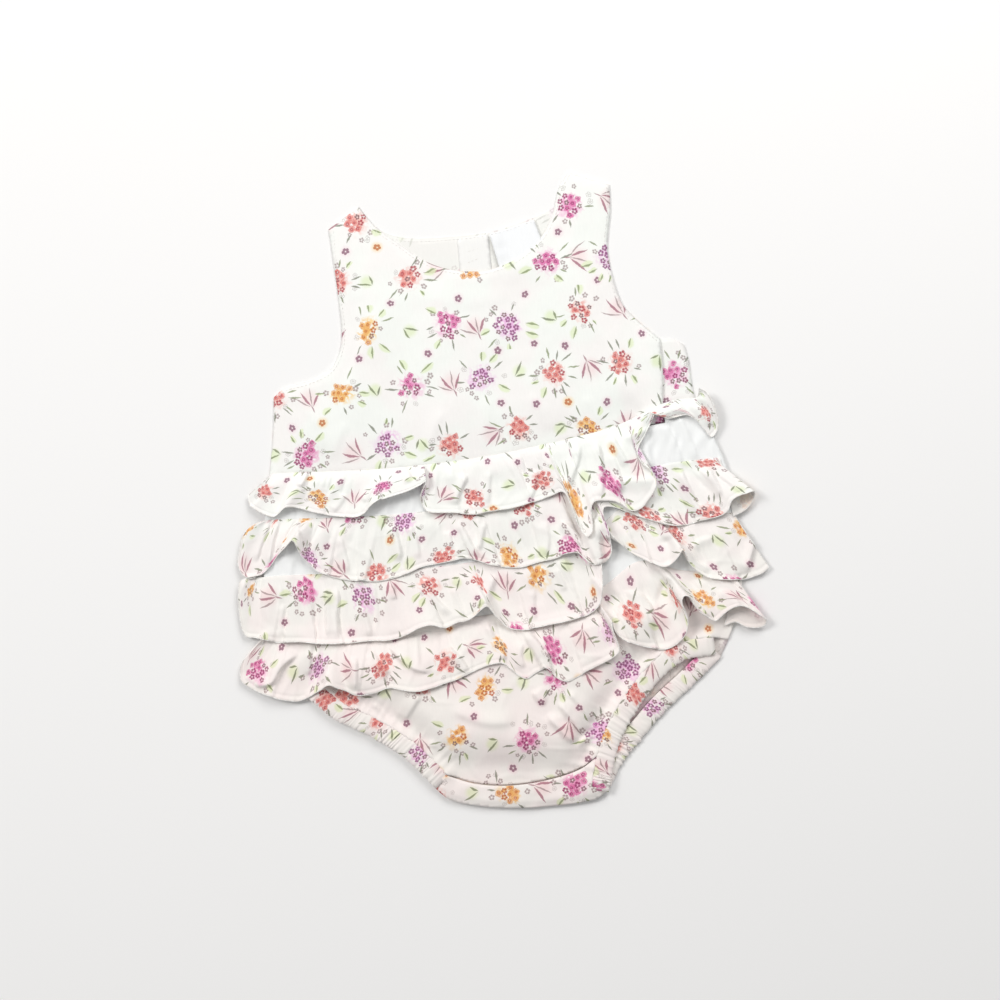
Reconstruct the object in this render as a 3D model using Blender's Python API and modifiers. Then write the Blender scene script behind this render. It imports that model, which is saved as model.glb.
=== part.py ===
"""Baby romper laid flat, front up.

Lengths in the tables are millimetres: x across the garment (its own left is -x as seen), y up
from the hips to the shoulders, z up from the table. MM turns them into metres.
"""
import math

import bmesh
import bpy
import numpy as np
from mathutils import Vector
from mathutils.bvhtree import BVHTree
from mathutils.geometry import delaunay_2d_cdt

MM = 0.001

# --- driving sizes ---------------------------------------------------------
WALL = 1.0              # cloth wall
SEAM_GAP = 0.35         # between pieces at a seam and where one lies on another
LAYER = WALL + SEAM_GAP  # one layer of cloth, and the next starts
BAND_WIDTH = 11.0       # leg binding
BAND_PITCH = 5.5        # gather to gather along a leg binding
BAND_RISE = 1.1         # height of those gathers
BACK_BAND_RISE = 0.8    # the same on the back binding
END_GAP = 0.6           # a binding stops this short of what it meets
WRAP_FROM = 38.6        # where the back's turned side starts, up the garment
TIER_DROPS = (0, 29, 64, 98)   # ruffle seams below the first one
SEAM_LIFTS = ((0, 1, 0), (0, 1, 0), (80, 17, 14), (86, 19, 13))  # middle, half width, rise
SEAM_TUCK = 3.0         # bodice under the first ruffle
RUFFLE_DEPTH = 40.0     # cut depth of a ruffle
RUFFLE_STEP = 6.0       # mesh spacing along a hem
RUFFLE_ROWS = 7         # mesh rows from seam to hem
HEM_FALL = 0.5          # where a hem runs down or up, its mesh is this much coarser
PUFF = 0.45             # hump of a ruffle that is pushed together, per mm of its run
GATHER_RISE = 0.9       # gathers below a ruffle's seam
GATHER_EVERY = 3        # one of them to this many columns of its mesh
GATHER_PROFILE = (0.5, 1.0, 0.9, 0.6, 0.3, 0.1, 0.0)   # row by row, from seam to hem
ACROSS_SHARE = 0.65     # how far a ruffle hangs straight down, and not evenly spread
SIDE_CLEAR = 2.0        # a ruffle's seam stops this short of the side
BODICE_PUFF = 0.9       # air under the bodice
FLAT_EDGE = 6.5         # a panel stays flat this far in from its seams
BODICE_EASE = 15.0      # and rises over this much more, the bodice
BLOOMER_EASE = 12.0     # and the bloomer
BROW_SOFTNESS = 3.0     # how gently the bloomer's full part begins
CORNER_X = 139          # across, where the first ruffle's seam meets the sides
BASE_RISE = 12          # the white front's lower right corner lies this much above its left one
HIP_DROP = 3            # the bloomer's right corner lies this much below the leg binding's end
NEAR_CORNER = 2.0       # an edge's own points this near its end are left out
PROBES = 12             # directions looked in around a point, for the cloth under it
PROBE_FROM = 0.1        # metres above the table, higher than any cloth
SMOOTHINGS = 3          # softening passes of a ruffle laid on what is under it
DRAPE = 1.4             # how late a ruffle rises on its way from seam to hem
MIDDLE = (-0.51, -1.6)    # of the laid garment, in the tables' x and y: the origin is moved there

# --- outline, each edge in the order that has the garment on its left -------
NECK_FRONT = [(65, 195), (58, 185), (53, 170), (45, 157), (31, 146), (10, 139), (-15, 142),
              (-31, 150), (-43, 160), (-58, 173), (-67, 186)]
NECK_BACK = [(65, 195), (61, 183), (54, 174), (41, 169), (26, 165), (12, 162.5), (-9, 162),
             (-40, 164), (-53, 169), (-61, 176), (-67, 186)]
SHOULDER_LEFT = [(-67, 186), (-87, 174)]
ARMHOLE_LEFT = [(-87, 174), (-86, 154), (-85, 129), (-86, 102), (-94, 87), (-108, 81), (-124, 78),
                (-131, 73)]
SIDE_LEFT = [(-131, 73), (-134, 48), (-139, 22), (-145, -10), (-148, -50), (-147, -85),
             (-140, -105), (-127, -116)]
LEG_LEFT = [(-127, -116), (-113, -130), (-93, -142), (-73, -157), (-63, -168), (-55, -178)]
CROTCH_EDGE = [(-55, -178), (-46, -187), (-27, -193), (-3, -196.5), (29, -197), (46, -195),
               (54, -190)]
LEG_RIGHT_FRONT = [(54, -190), (58, -175), (64, -160), (74, -145), (90, -127), (107, -115),
                   (126, -113)]
LEG_RIGHT_BACK = [(54, -190), (65, -173), (78, -160), (95, -144), (112, -131), (130, -116)]
SIDE_RIGHT = [(130, -116), (136, -106), (143, -90), (149, -68), (149, -30), (145, 5), (138, 26),
              (130, 50), (129, 70), (127, 81)]
UNDERARM_RIGHT = [(127, 81), (121, 85), (112, 86)]
ARMHOLE_RIGHT = [(112, 86), (101, 97), (92, 108), (87, 125), (85, 146), (89, 168), (90, 185)]
SHOULDER_RIGHT = [(90, 185), (65, 195)]
FRONT_SEAM_RIGHT = [(110, 28), (110, 44), (112, 66), (112, 86)]
CROTCH_SEAM = [(-46, -171), (-30, -178), (-8, -181.5), (18, -180), (38, -175), (51, -168)]
FIRST_SEAM = [(-139, 26), (-60, 22), (0, 24), (60, 31), (108, 37), (140, 38)]
PLACKET = [(-8, 104), (12, 104), (12, 161.5), (-8, 160.5)]
LABEL = [(17, 139), (47, 146), (41, 167.5), (12.5, 161)]

# --- soft folds of the panels: from, to, rise, half width ------------------
FOLD = ("x0", "y0", "x1", "y1", "rise", "width")
BODICE_FOLDS = [
    (-120, 62, -96, 34, 1.4, 9),
    (-60, 120, -84, 60, 1.0, 12),
    (64, 128, 88, 60, 1.1, 12),
    (-20, 60, -34, 26, 1.0, 9),
    (30, 66, 44, 34, 1.2, 10),
    (86, 60, 96, 42, 1.6, 7),
]
BLOOMER_FOLDS = [
    (-112, -112, -84, -140, 2.6, 5),
    (-92, -108, -70, -146, 3.0, 5),
    (-66, -112, -50, -148, 2.2, 7),
    (-20, -118, -8, -150, 1.6, 12),
    (18, -118, 48, -152, 2.8, 7),
    (38, -116, 62, -140, 2.2, 6),
    (84, -104, 88, -122, 1.8, 6),
]
BLOOMER_PUFF = 6.0        # height of the full part above the crotch
PUFF_EDGE = [(-80, -140), (-60, -154), (-30, -157), (10, -161), (40, -164), (66, -152)]

# --- hems: across, drop below the ruffle's own seam line, height of the cloth
HEM = ("x", "drop", "z")
HEMS = [
    [(-155, 18, 2.5), (-147, 25, 3.5), (-138, 28, 5), (-130, 23, 8), (-117, 27, 6), (-93, 30, 5.5),
     (-77, 25, 6), (-58, 15, 8), (-43, 9, 11), (-42, 20, 8), (-38, 31, 6), (-13, 36, 5.5),
     (6, 36, 5.5), (29, 34, 6), (43, 32, 7), (48, 48, 8), (54, 62, 9), (60, 52, 9), (64, 42, 9),
     (72, 44, 8), (81, 51, 8), (89, 53, 8), (97, 46, 9), (100, 36, 10), (97, 22, 11),
     (95, 9, 12), (101, -5, 12), (109, -8, 10), (121, -11, 8), (132, -14, 9), (141, -8, 9),
     (146, 3, 8), (142, 16, 5)],
    [(-163, 30, 2), (-160, 35, 3), (-149, 36, 4), (-141, 31, 7), (-130, 16, 10), (-121, 25, 7),
     (-114, 34, 6), (-104, 37, 6), (-80, 40, 6), (-57, 37, 6), (-39, 34, 6.5), (-24, 33, 8),
     (-8, 40, 6), (12, 42, 6), (34, 42, 6), (50, 44, 6), (60, 50, 6), (67, 54, 7), (70, 44, 9),
     (70.5, 30, 8), (71, 18, 8), (75, 21, 8), (80, 24, 8), (89, 31, 7), (102, 37, 6), (119, 39, 6),
     (139, 40, 6), (152, 37, 5), (163, 31, 3.5)],
    [(-159, 4, 3.5), (-162, 20, 2.5), (-165, 34, 2.5), (-156, 38, 3.5), (-136, 42, 5),
     (-117, 43, 6), (-98, 44, 6), (-79, 44, 6), (-67, 43, 6), (-57, 38, 7), (-45, 36, 9),
     (-32, 38, 7), (-20, 36, 8), (-13, 32, 12), (-8, 40, 7), (-1, 45, 6), (15, 48, 6),
     (33, 49, 6), (53, 49, 7), (63, 50, 7),
     (69, 42, 9), (70, 28, 10), (68, 13, 9), (66, 6, 8), (71, 7, 9), (78, 13, 8), (87, 20, 7),
     (97, 27, 6), (104, 30, 6), (109, 27, 8), (113, 23, 11), (118, 31, 8), (125, 38, 6),
     (137, 42, 6), (150, 41, 5), (159, 38, 4), (167, 34, 3)],
    [(-168, 20, 2), (-168, 28, 2), (-158, 37, 3), (-145, 43, 4), (-135, 45, 5), (-127, 42, 6),
     (-119, 39, 8), (-113, 36, 11), (-107, 39, 8), (-99, 44, 6), (-91, 45, 6), (-83, 41, 8),
     (-74, 40, 8), (-57, 42, 6), (-45, 40, 6), (-35, 38, 6), (-22, 34, 7), (-9, 30, 9),
     (-2, 32, 8), (4, 40, 6), (13, 42, 7), (21, 37, 10), (27, 46, 7), (34, 50, 6), (42, 47, 7),
     (52, 44, 8), (62, 45, 6), (67, 36, 8), (65, 21, 12), (70, 29, 9), (76, 35, 8), (84, 39, 7),
     (98, 44, 7), (106, 40, 8), (111, 31, 11), (114, 17, 14), (119, 24, 10), (124, 30, 8),
     (131, 35, 6), (139, 28, 8), (148, 24, 7), (156, 28, 5), (163, 35, 4)],
]

COLOURS = {
    "print": (0.93, 0.89, 0.86, 1.0),
    "white": (0.94, 0.94, 0.95, 1.0),
    "label": (0.97, 0.97, 0.97, 1.0),
}


# --- curves and heights ----------------------------------------------------
def smooth_curve(points, step):
    """Points about step apart on a smooth curve (centripetal Catmull-Rom) through the given ones."""
    p = np.array(points, float)
    p = np.vstack([2 * p[0] - p[1], p, 2 * p[-1] - p[-2]])
    out = []
    for i in range(1, len(p) - 2):
        a, b, c, d = p[i - 1:i + 3]
        t1, t2, t3 = np.cumsum([np.linalg.norm(q) ** 0.5 for q in (b - a, c - b, d - c)])
        count = max(1, round(float(np.linalg.norm(c - b)) / step))
        for t in np.linspace(t1, t2, count, endpoint=False):
            ab = a + (b - a) * t / t1
            bc = b + (c - b) * (t - t1) / (t2 - t1)
            cd = c + (d - c) * (t - t2) / (t3 - t2)
            abc = ab + (bc - ab) * t / t2
            bcd = bc + (cd - bc) * (t - t1) / (t3 - t1)
            out.append(abc + (bcd - abc) * (t - t1) / (t2 - t1))
    return np.array(out + [p[-2]])


def run_of(points):
    """Distance along a line of points, at each of them."""
    return np.concatenate([[0], np.cumsum(np.linalg.norm(np.diff(points, axis=0), axis=1))])


def evenly(points, count, run=None):
    """count points spaced evenly along a line of points, or evenly by another measure of it."""
    p = np.array(points, float)
    run = run_of(p) if run is None else run
    at = np.linspace(0, run[-1], count)
    return np.stack([np.interp(at, run, p[:, i]) for i in range(p.shape[1])], axis=1)


def between(edge, y_from, y_to):
    """The stretch of an edge from one height to another; its y must rise or fall all along."""
    curve = smooth_curve(edge, 2.0)
    if curve[0, 1] > curve[-1, 1]:
        curve = curve[::-1]
    y = np.linspace(y_from, y_to, max(2, int(abs(y_to - y_from) / 10) + 1))
    return list(zip(np.interp(y, curve[:, 1], curve[:, 0]), y))


def x_of(edge, y):
    """x of an edge at height y."""
    return between(edge, y, y)[0][0]


def inset(edge, width):
    """An edge moved into the garment, to its left."""
    curve = smooth_curve(edge, 5.0)
    ahead = np.gradient(curve, axis=0)
    ahead /= np.linalg.norm(ahead, axis=1)[:, None]
    return [tuple(p) for p in curve + width * np.column_stack([-ahead[:, 1], ahead[:, 0]])]


def leg_seam(edge):
    """Where a leg binding meets the cloth it is sewn to."""
    return inset(edge, BAND_WIDTH + SEAM_GAP)


def seam_y(tier, x):
    """Height up the garment of a ruffle's seam at x."""
    curve = smooth_curve(FIRST_SEAM, 5.0)
    return np.interp(x, curve[:, 0], curve[:, 1]) - TIER_DROPS[tier]


def lifted_seam_y(tier, x):
    """The same where the ruffle's cloth is pushed up over its seam."""
    middle, width, rise = SEAM_LIFTS[tier]
    return seam_y(tier, x) + rise * np.exp(-((x - middle) / width) ** 2)


def along_seam(tier, x_from, x_to, above):
    """Points along a ruffle's seam, moved up by above."""
    x = np.linspace(x_from, x_to, 12)
    return list(zip(x, seam_y(tier, x) + above))


def fold_height(x, y, table):
    """Sum of soft ridges, each fading at its ends."""
    total = np.zeros_like(x)
    for row in table:
        f = dict(zip(FOLD, row))
        run = np.array([f["x1"] - f["x0"], f["y1"] - f["y0"]], float)
        length = np.linalg.norm(run)
        run /= length
        along = (x - f["x0"]) * run[0] + (y - f["y0"]) * run[1]
        aside = (y - f["y0"]) * run[0] - (x - f["x0"]) * run[1]
        past = np.maximum(np.maximum(-along, along - length), 0)
        total += f["rise"] * np.exp(-(aside / f["width"]) ** 2 - (past / f["width"]) ** 2)
    return total


def from_edge(x, y, outline):
    """How far points lie from the nearest point of the outline."""
    edge = np.array(outline)
    away = (x[:, None] - edge[None, :, 0]) ** 2 + (y[:, None] - edge[None, :, 1]) ** 2
    return np.sqrt(away.min(axis=1))


def bodice_height(x, y, outline):
    """The bodice lies almost flat, with a few soft folds."""
    ease = np.clip((from_edge(x, y, outline) - FLAT_EDGE) / BODICE_EASE, 0, 1)
    return LAYER + ease * (BODICE_PUFF + fold_height(x, y, BODICE_FOLDS))


def bloomer_height(x, y, outline):
    """The bloomer stands up above a line across the crotch, and its fullness folds."""
    brow = smooth_curve(PUFF_EDGE, 5.0)
    above = y - np.interp(x, brow[:, 0], brow[:, 1])
    ease = np.clip((from_edge(x, y, outline) - FLAT_EDGE) / BLOOMER_EASE, 0, 1)
    full = BLOOMER_PUFF / (1 + np.exp(-above / BROW_SOFTNESS))
    return LAYER + ease * (full + fold_height(x, y, BLOOMER_FOLDS))


# --- meshes ----------------------------------------------------------------
def material(name):
    """A Principled material in one of the garment's colours."""
    mat = bpy.data.materials.get(name) or bpy.data.materials.new(name)
    mat.use_nodes = True
    shader = mat.node_tree.nodes["Principled BSDF"]
    shader.inputs["Base Color"].default_value = COLOURS[name]
    shader.inputs["Roughness"].default_value = 0.85
    return mat


def add_object(name, verts, faces, colour, collection):
    """A mesh object from points in mm."""
    mesh = bpy.data.meshes.new(name)
    mesh.from_pydata([tuple(c * MM for c in v) for v in verts], [], faces)
    mesh.materials.append(material(colour))
    obj = bpy.data.objects.new(name, mesh)
    collection.objects.link(obj)
    return obj


def add_wall(obj, wall=WALL, offset=1.0):
    """Solidify: offset 1 builds the wall upwards, 0 to both sides."""
    solid = obj.modifiers.new("wall", "SOLIDIFY")
    solid.thickness = wall * MM
    solid.offset = offset
    return obj


def height_of(pieces, x, y, reach):
    """Height of the highest cloth at each point, and up to reach around it."""
    depsgraph = bpy.context.evaluated_depsgraph_get()
    trees = [BVHTree.FromObject(piece, depsgraph) for piece in pieces]
    turns = np.linspace(0, 2 * math.pi, PROBES, endpoint=False)
    around = [(0.0, 0.0)] + [(r * math.cos(a), r * math.sin(a))
                             for r in (reach / 3, reach * 2 / 3, reach) for a in turns]
    down = Vector((0, 0, -1))
    heights = np.zeros(len(x))
    for i, (px, py) in enumerate(zip(x, y)):
        for dx, dy in around:
            start = Vector(((px + dx) * MM, (py + dy) * MM, PROBE_FROM))
            for tree in trees:
                hit = tree.ray_cast(start, down)[0]
                if hit is not None:
                    heights[i] = max(heights[i], hit.z / MM)
    return heights


def panel(name, edges, colour, step, collection, height=None, under=(), filled=True):
    """A cut panel: its edges in order round it, points inside it, raised by height(x, y)."""
    outline = [tuple(p) for edge in edges for p in smooth_curve(edge, step)[:-1]]
    points = list(outline)
    if filled:
        low, high = np.min(outline, axis=0), np.max(outline, axis=0)
        for r, y in enumerate(np.arange(low[1], high[1], step * 0.866)):
            points += [(x, y) for x in np.arange(low[0] + 0.5 * step * (r % 2), high[0], step)]
        x, y = np.array(points).T
        kept = from_edge(x, y, outline) > 0.55 * step
        kept[:len(outline)] = True
        points = [p for p, keep in zip(points, kept) if keep]
    loop = list(range(len(outline)))
    flat, _, faces, *_ = delaunay_2d_cdt([Vector(p) for p in points], [], [loop], 1, 1e-4)
    x, y = np.array([v[:] for v in flat]).T
    z = np.zeros_like(x) if height is None else height(x, y, outline)
    if under:
        z = np.maximum(z, height_of(under, x, y, 1.3 * step) + SEAM_GAP)
    return add_wall(add_object(name, np.column_stack([x, y, z]), faces, colour, collection))


def band(name, edge, z, rise, collection):
    """A binding along a leg edge, gathered on top and plain below, a little short at both ends."""
    line = smooth_curve(edge, 1.0)
    length = run_of(line)[-1]
    count = 2 * int(length / BAND_PITCH) + 1
    line = evenly(line, int(length / END_GAP))[1:-1]
    line = evenly(line, count)
    ahead = np.gradient(line, axis=0)
    ahead /= np.linalg.norm(ahead, axis=1)[:, None]
    inward = np.column_stack([-ahead[:, 1], ahead[:, 0]])
    gather = rise * (np.arange(count) % 2)
    rows = []
    for share, lifted in ((0.0, 0), (0.25, 1), (0.75, 1), (1.0, 0)):
        rows.append(np.column_stack([line + inward * BAND_WIDTH * share, z + WALL + gather * lifted]))
    rows += [np.column_stack([row[:, :2], np.full(count, z)]) for row in rows[::-1]]
    n = len(rows)
    faces = [(k * count + i, (k + 1) % n * count + i, (k + 1) % n * count + i + 1, k * count + i + 1)
             for k in range(n) for i in range(count - 1)]
    for i in (0, count - 1):
        for k in range(n // 2 - 1):
            faces.append([row * count + i for row in (k, k + 1, n - 2 - k, n - 1 - k)])
    obj = add_object(name, np.concatenate(rows), faces, "print", collection)
    bm = bmesh.new()
    bm.from_mesh(obj.data)
    bmesh.ops.recalc_face_normals(bm, faces=bm.faces)
    bm.to_mesh(obj.data)
    bm.free()
    return obj


def ruffle_points(tier):
    """Middle surface of a ruffle: rows from its seam to its hem, columns along it."""
    hem = []
    for row in HEMS[tier]:
        r = dict(zip(HEM, row))
        hem.append((r["x"], float(seam_y(tier, r["x"])) - r["drop"], r["z"]))
    curve = smooth_curve(hem, 2.0)
    run = run_of(curve * (1, HEM_FALL, HEM_FALL))
    count = int(run[-1] / RUFFLE_STEP)
    curve = evenly(curve, count, run)
    left = x_of(SIDE_LEFT, seam_y(tier, FIRST_SEAM[0][0])) + SIDE_CLEAR
    right = x_of(SIDE_RIGHT, seam_y(tier, FIRST_SEAM[-1][0])) - SIDE_CLEAR
    across = np.maximum.accumulate(curve[:, 0])
    across = (across - across[0]) / (across[-1] - across[0])
    share = ACROSS_SHARE * across + (1 - ACROSS_SHARE) * np.linspace(0, 1, count)
    x = left + (right - left) * share
    seam = np.column_stack([x, lifted_seam_y(tier, x), np.full(count, 2 * LAYER + WALL / 2)])
    run = np.linalg.norm(curve[:, :2] - seam[:, :2], axis=1)
    pushed = np.clip(1 - run / RUFFLE_DEPTH, 0, 1)
    grid = np.zeros((RUFFLE_ROWS, count, 3))
    for j, v in enumerate(np.linspace(0, 1, RUFFLE_ROWS)):
        grid[j] = seam + (curve - seam) * v
        grid[j, :, 2] = seam[:, 2] + (curve[:, 2] - seam[:, 2]) * v ** DRAPE
        grid[j, :, 2] += math.sin(math.pi * v) * pushed * PUFF * np.minimum(run, RUFFLE_STEP * 2)
    return grid


def ruffle(tier, under, collection):
    """A gathered strip laid on what is under it, softened, and kept above it."""
    grid = ruffle_points(tier)
    rows, count, _ = grid.shape
    x, y, _ = grid.reshape(-1, 3).T
    floor = height_of(under, x, y, RUFFLE_STEP).reshape(rows, count) + SEAM_GAP + WALL / 2
    z = np.maximum(grid[:, :, 2], floor)
    for _ in range(SMOOTHINGS):
        soft = z.copy()
        soft[1:-1] = (z[:-2] + 2 * z[1:-1] + z[2:]) / 4
        soft[:, 1:-1] = (soft[:, :-2] + 2 * soft[:, 1:-1] + soft[:, 2:]) / 4
        z = np.maximum(soft, floor)
    apart = np.linalg.norm(np.diff(grid[:, :, :2], axis=1), axis=2)
    apart = np.minimum(np.pad(apart, ((0, 0), (1, 0)), "edge"), np.pad(apart, ((0, 0), (0, 1)), "edge"))
    room = np.clip(2 * apart / RUFFLE_STEP - 1, 0, 1)
    gathered = np.arange(count) % GATHER_EVERY == 1
    grid[:, :, 2] = z + GATHER_RISE * room * np.outer(GATHER_PROFILE, gathered)
    faces = [(j * count + i, (j + 1) * count + i, (j + 1) * count + i + 1, j * count + i + 1)
             for j in range(rows - 1) for i in range(count - 1)]
    name = f"ruffle_{tier + 1}"
    return add_wall(add_object(name, grid.reshape(-1, 3), faces, "print", collection), offset=0.0)


# --- the garment's pieces --------------------------------------------------
def back_panel(garment, cutters):
    """The back, flat on the table, its side turned over on to the front at the right."""
    leg_left, leg_right = leg_seam(LEG_LEFT), leg_seam(LEG_RIGHT_BACK)
    edges = [leg_left, [leg_left[-1], LEG_LEFT[-1]], CROTCH_EDGE, [CROTCH_EDGE[-1], leg_right[0]],
             leg_right, [leg_right[-1], SIDE_RIGHT[0]], SIDE_RIGHT, UNDERARM_RIGHT, ARMHOLE_RIGHT,
             SHOULDER_RIGHT, NECK_BACK, SHOULDER_LEFT, ARMHOLE_LEFT, SIDE_LEFT,
             [SIDE_LEFT[-1], leg_left[0]]]
    back = panel("back", edges, "print", 9.0, garment, filled=False)
    low, high = WRAP_FROM, SIDE_RIGHT[-1][1]
    inner = [(x + SEAM_GAP, y) for x, y in between(FRONT_SEAM_RIGHT, UNDERARM_RIGHT[-1][1], low)]
    outer = between(SIDE_RIGHT, low, high)
    wrap_edges = [[inner[-1], outer[0]], outer, UNDERARM_RIGHT[:-1] + [inner[0]], inner]
    wrap = panel("wrap", wrap_edges, "print", 9.0, cutters, filled=False,
                 height=lambda x, y, outline: np.full_like(x, LAYER))
    fold = between(SIDE_RIGHT, low + 4, high - 3)
    verts = [(x - away, y, WALL / 2) for away in (1.5, 0.3) for x, y in fold]
    n = len(fold)
    faces = [(i, n + i, n + i + 1, i + 1) for i in range(n - 1)]
    edge = add_wall(add_object("wrap_fold", verts, faces, "print", cutters), wall=LAYER)
    for cutter in (edge, wrap):
        cutter.hide_render = True
        cutter.display_type = "WIRE"
        join = back.modifiers.new("join " + cutter.name, "BOOLEAN")
        join.operation = "UNION"
        join.object = cutter
    return back


def sides_of(corners):
    """The straight sides of a patch."""
    return [[a, b] for a, b in zip(corners, corners[1:] + corners[:1])]


def crotch_seam(above):
    """The seam from leg binding to leg binding, moved up by above."""
    end = CROTCH_SEAM[-1][1]
    middle = [(x, y + above) for x, y in CROTCH_SEAM[1:-1]]
    return [leg_seam(LEG_LEFT)[-1]] + middle + [(x_of(leg_seam(LEG_RIGHT_FRONT), end), end)]


def front_panels(garment, under):
    """Bodice, white front under the ruffles, bloomer and crotch strip."""
    low_left = float(seam_y(0, -CORNER_X)) - SEAM_TUCK
    hem_right = FRONT_SEAM_RIGHT[0][0]
    low_right = float(seam_y(0, hem_right)) - SEAM_TUCK
    bottom = along_seam(0, x_of(SIDE_LEFT, low_left), hem_right, -SEAM_TUCK)
    bottom[0] = (bottom[0][0], low_left)
    top = FRONT_SEAM_RIGHT[-1][1]
    edges = [bottom, between(FRONT_SEAM_RIGHT, low_right, top), ARMHOLE_RIGHT, SHOULDER_RIGHT,
             NECK_FRONT, SHOULDER_LEFT, ARMHOLE_LEFT, between(SIDE_LEFT, SIDE_LEFT[0][1], low_left)]
    bodice = panel("front_bodice", edges, "print", 9.5, garment, bodice_height, under)

    base_low = float(seam_y(3, 0)) - SEAM_TUCK
    base_left, base_right = x_of(SIDE_LEFT, base_low), x_of(SIDE_RIGHT, base_low + BASE_RISE)
    bottom = along_seam(3, base_left, base_right, -SEAM_TUCK)
    high_right = float(seam_y(0, CORNER_X)) - SEAM_GAP
    step_x = hem_right + SEAM_GAP
    top_right = [(x_of(SIDE_RIGHT, high_right), high_right), (step_x, high_right)]
    top_left = along_seam(0, step_x, x_of(SIDE_LEFT, low_left), -SEAM_TUCK - SEAM_GAP)
    edges = [bottom, between(SIDE_RIGHT, bottom[-1][1], high_right), top_right,
             [top_right[-1], top_left[0]], top_left, between(SIDE_LEFT, top_left[-1][1], bottom[0][1])]
    base = panel("front_base", edges, "white", 11.0, garment,
                 lambda x, y, outline: np.full_like(x, LAYER), filled=False)

    leg_left, leg_right = leg_seam(LEG_LEFT), leg_seam(LEG_RIGHT_FRONT)
    end = CROTCH_SEAM[-1][1]
    seam = crotch_seam(0.0)
    leg_upper = [seam[-1]] + [p for p in leg_right if p[1] > end + NEAR_CORNER]
    hip_y = leg_upper[-1][1] - HIP_DROP
    hip = (x_of(SIDE_RIGHT, hip_y), hip_y)
    top = along_seam(3, base_right, base_left, -SEAM_TUCK - SEAM_GAP)
    edges = [leg_left, seam, leg_upper, [leg_upper[-1], hip], between(SIDE_RIGHT, hip_y, top[0][1]),
             top, between(SIDE_LEFT, top[-1][1], SIDE_LEFT[-1][1]), [SIDE_LEFT[-1], leg_left[0]]]
    bloomer = panel("bloomer_front", edges, "print", 7.0, garment, bloomer_height)

    seam = crotch_seam(-1.2 * SEAM_GAP)[::-1]
    down = np.subtract(LEG_LEFT[-1], leg_left[-1])
    seam[-1] = tuple(leg_left[-1] + down * 2 * SEAM_GAP / np.linalg.norm(down))
    seam[0] = (x_of(leg_right, end - 2 * SEAM_GAP), end - 2 * SEAM_GAP)
    leg_lower = [p for p in leg_right if p[1] < seam[0][1] - NEAR_CORNER] + [seam[0]]
    edges = [[seam[-1], LEG_LEFT[-1]], CROTCH_EDGE, [CROTCH_EDGE[-1], leg_lower[0]], leg_lower,
             seam]
    crotch = panel("crotch_band", edges, "print", 8.0, garment,
                   lambda x, y, outline: np.full_like(x, LAYER))
    return [bodice, base, bloomer, crotch]


def main():
    """Builds the garment from the table up."""
    for obj in list(bpy.data.objects):
        bpy.data.objects.remove(obj, do_unlink=True)
    garment = bpy.data.collections.new("baby romper")
    cutters = bpy.data.collections.new("cutters")
    bpy.context.scene.collection.children.link(garment)
    bpy.context.scene.collection.children.link(cutters)

    back = back_panel(garment, cutters)
    bands = [band("leg_band_back_left", LEG_LEFT, 0.0, BACK_BAND_RISE, garment),
             band("leg_band_back_right", LEG_RIGHT_BACK, 0.0, BACK_BAND_RISE, garment)]
    over = WALL + BACK_BAND_RISE + SEAM_GAP
    bands += [band("leg_band_front_left", LEG_LEFT, over, BAND_RISE, garment),
              band("leg_band_front_right", LEG_RIGHT_FRONT, over, BAND_RISE, garment)]
    placket = panel("back_placket", sides_of(PLACKET), "white", 7.0, garment, under=[back])
    label = panel("neck_label", sides_of(LABEL), "label", 5.0, garment, under=[back, placket])
    fronts = front_panels(garment, [back, placket, label])
    laid = [back] + bands + fronts
    for tier in (3, 2, 1, 0):
        laid.append(ruffle(tier, laid, garment))
    for obj in list(garment.objects) + list(cutters.objects):
        obj.location = (-MIDDLE[0] * MM, -MIDDLE[1] * MM, 0)


main()
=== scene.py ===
import math

import bmesh
import bpy
import numpy as np
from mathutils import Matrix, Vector
from mathutils.bvhtree import BVHTree
from mathutils.geometry import delaunay_2d_cdt


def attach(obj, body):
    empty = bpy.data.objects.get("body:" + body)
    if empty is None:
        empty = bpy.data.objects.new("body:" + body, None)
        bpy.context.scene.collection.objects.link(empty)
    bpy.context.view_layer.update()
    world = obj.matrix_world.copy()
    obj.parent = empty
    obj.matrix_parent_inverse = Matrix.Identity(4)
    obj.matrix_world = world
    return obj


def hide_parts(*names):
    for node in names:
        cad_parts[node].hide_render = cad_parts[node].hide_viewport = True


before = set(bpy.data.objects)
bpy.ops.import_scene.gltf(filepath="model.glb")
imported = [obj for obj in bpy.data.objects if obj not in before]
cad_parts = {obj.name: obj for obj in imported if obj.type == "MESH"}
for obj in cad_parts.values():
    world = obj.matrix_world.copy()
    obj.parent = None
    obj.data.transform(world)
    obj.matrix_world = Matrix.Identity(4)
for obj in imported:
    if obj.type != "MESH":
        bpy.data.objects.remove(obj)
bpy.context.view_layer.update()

# Lengths below are millimetres unless a line says metres.
# x runs across the garment, y up to the shoulders, z up.
mm = 0.001
perMetre = 1000.0  # millimetres
middle = np.array([-0.51, -1.6])  # of the laid garment in these x and y: the frame's origin
garment = bpy.data.collections.new("romper")
bpy.context.scene.collection.children.link(garment)


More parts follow.
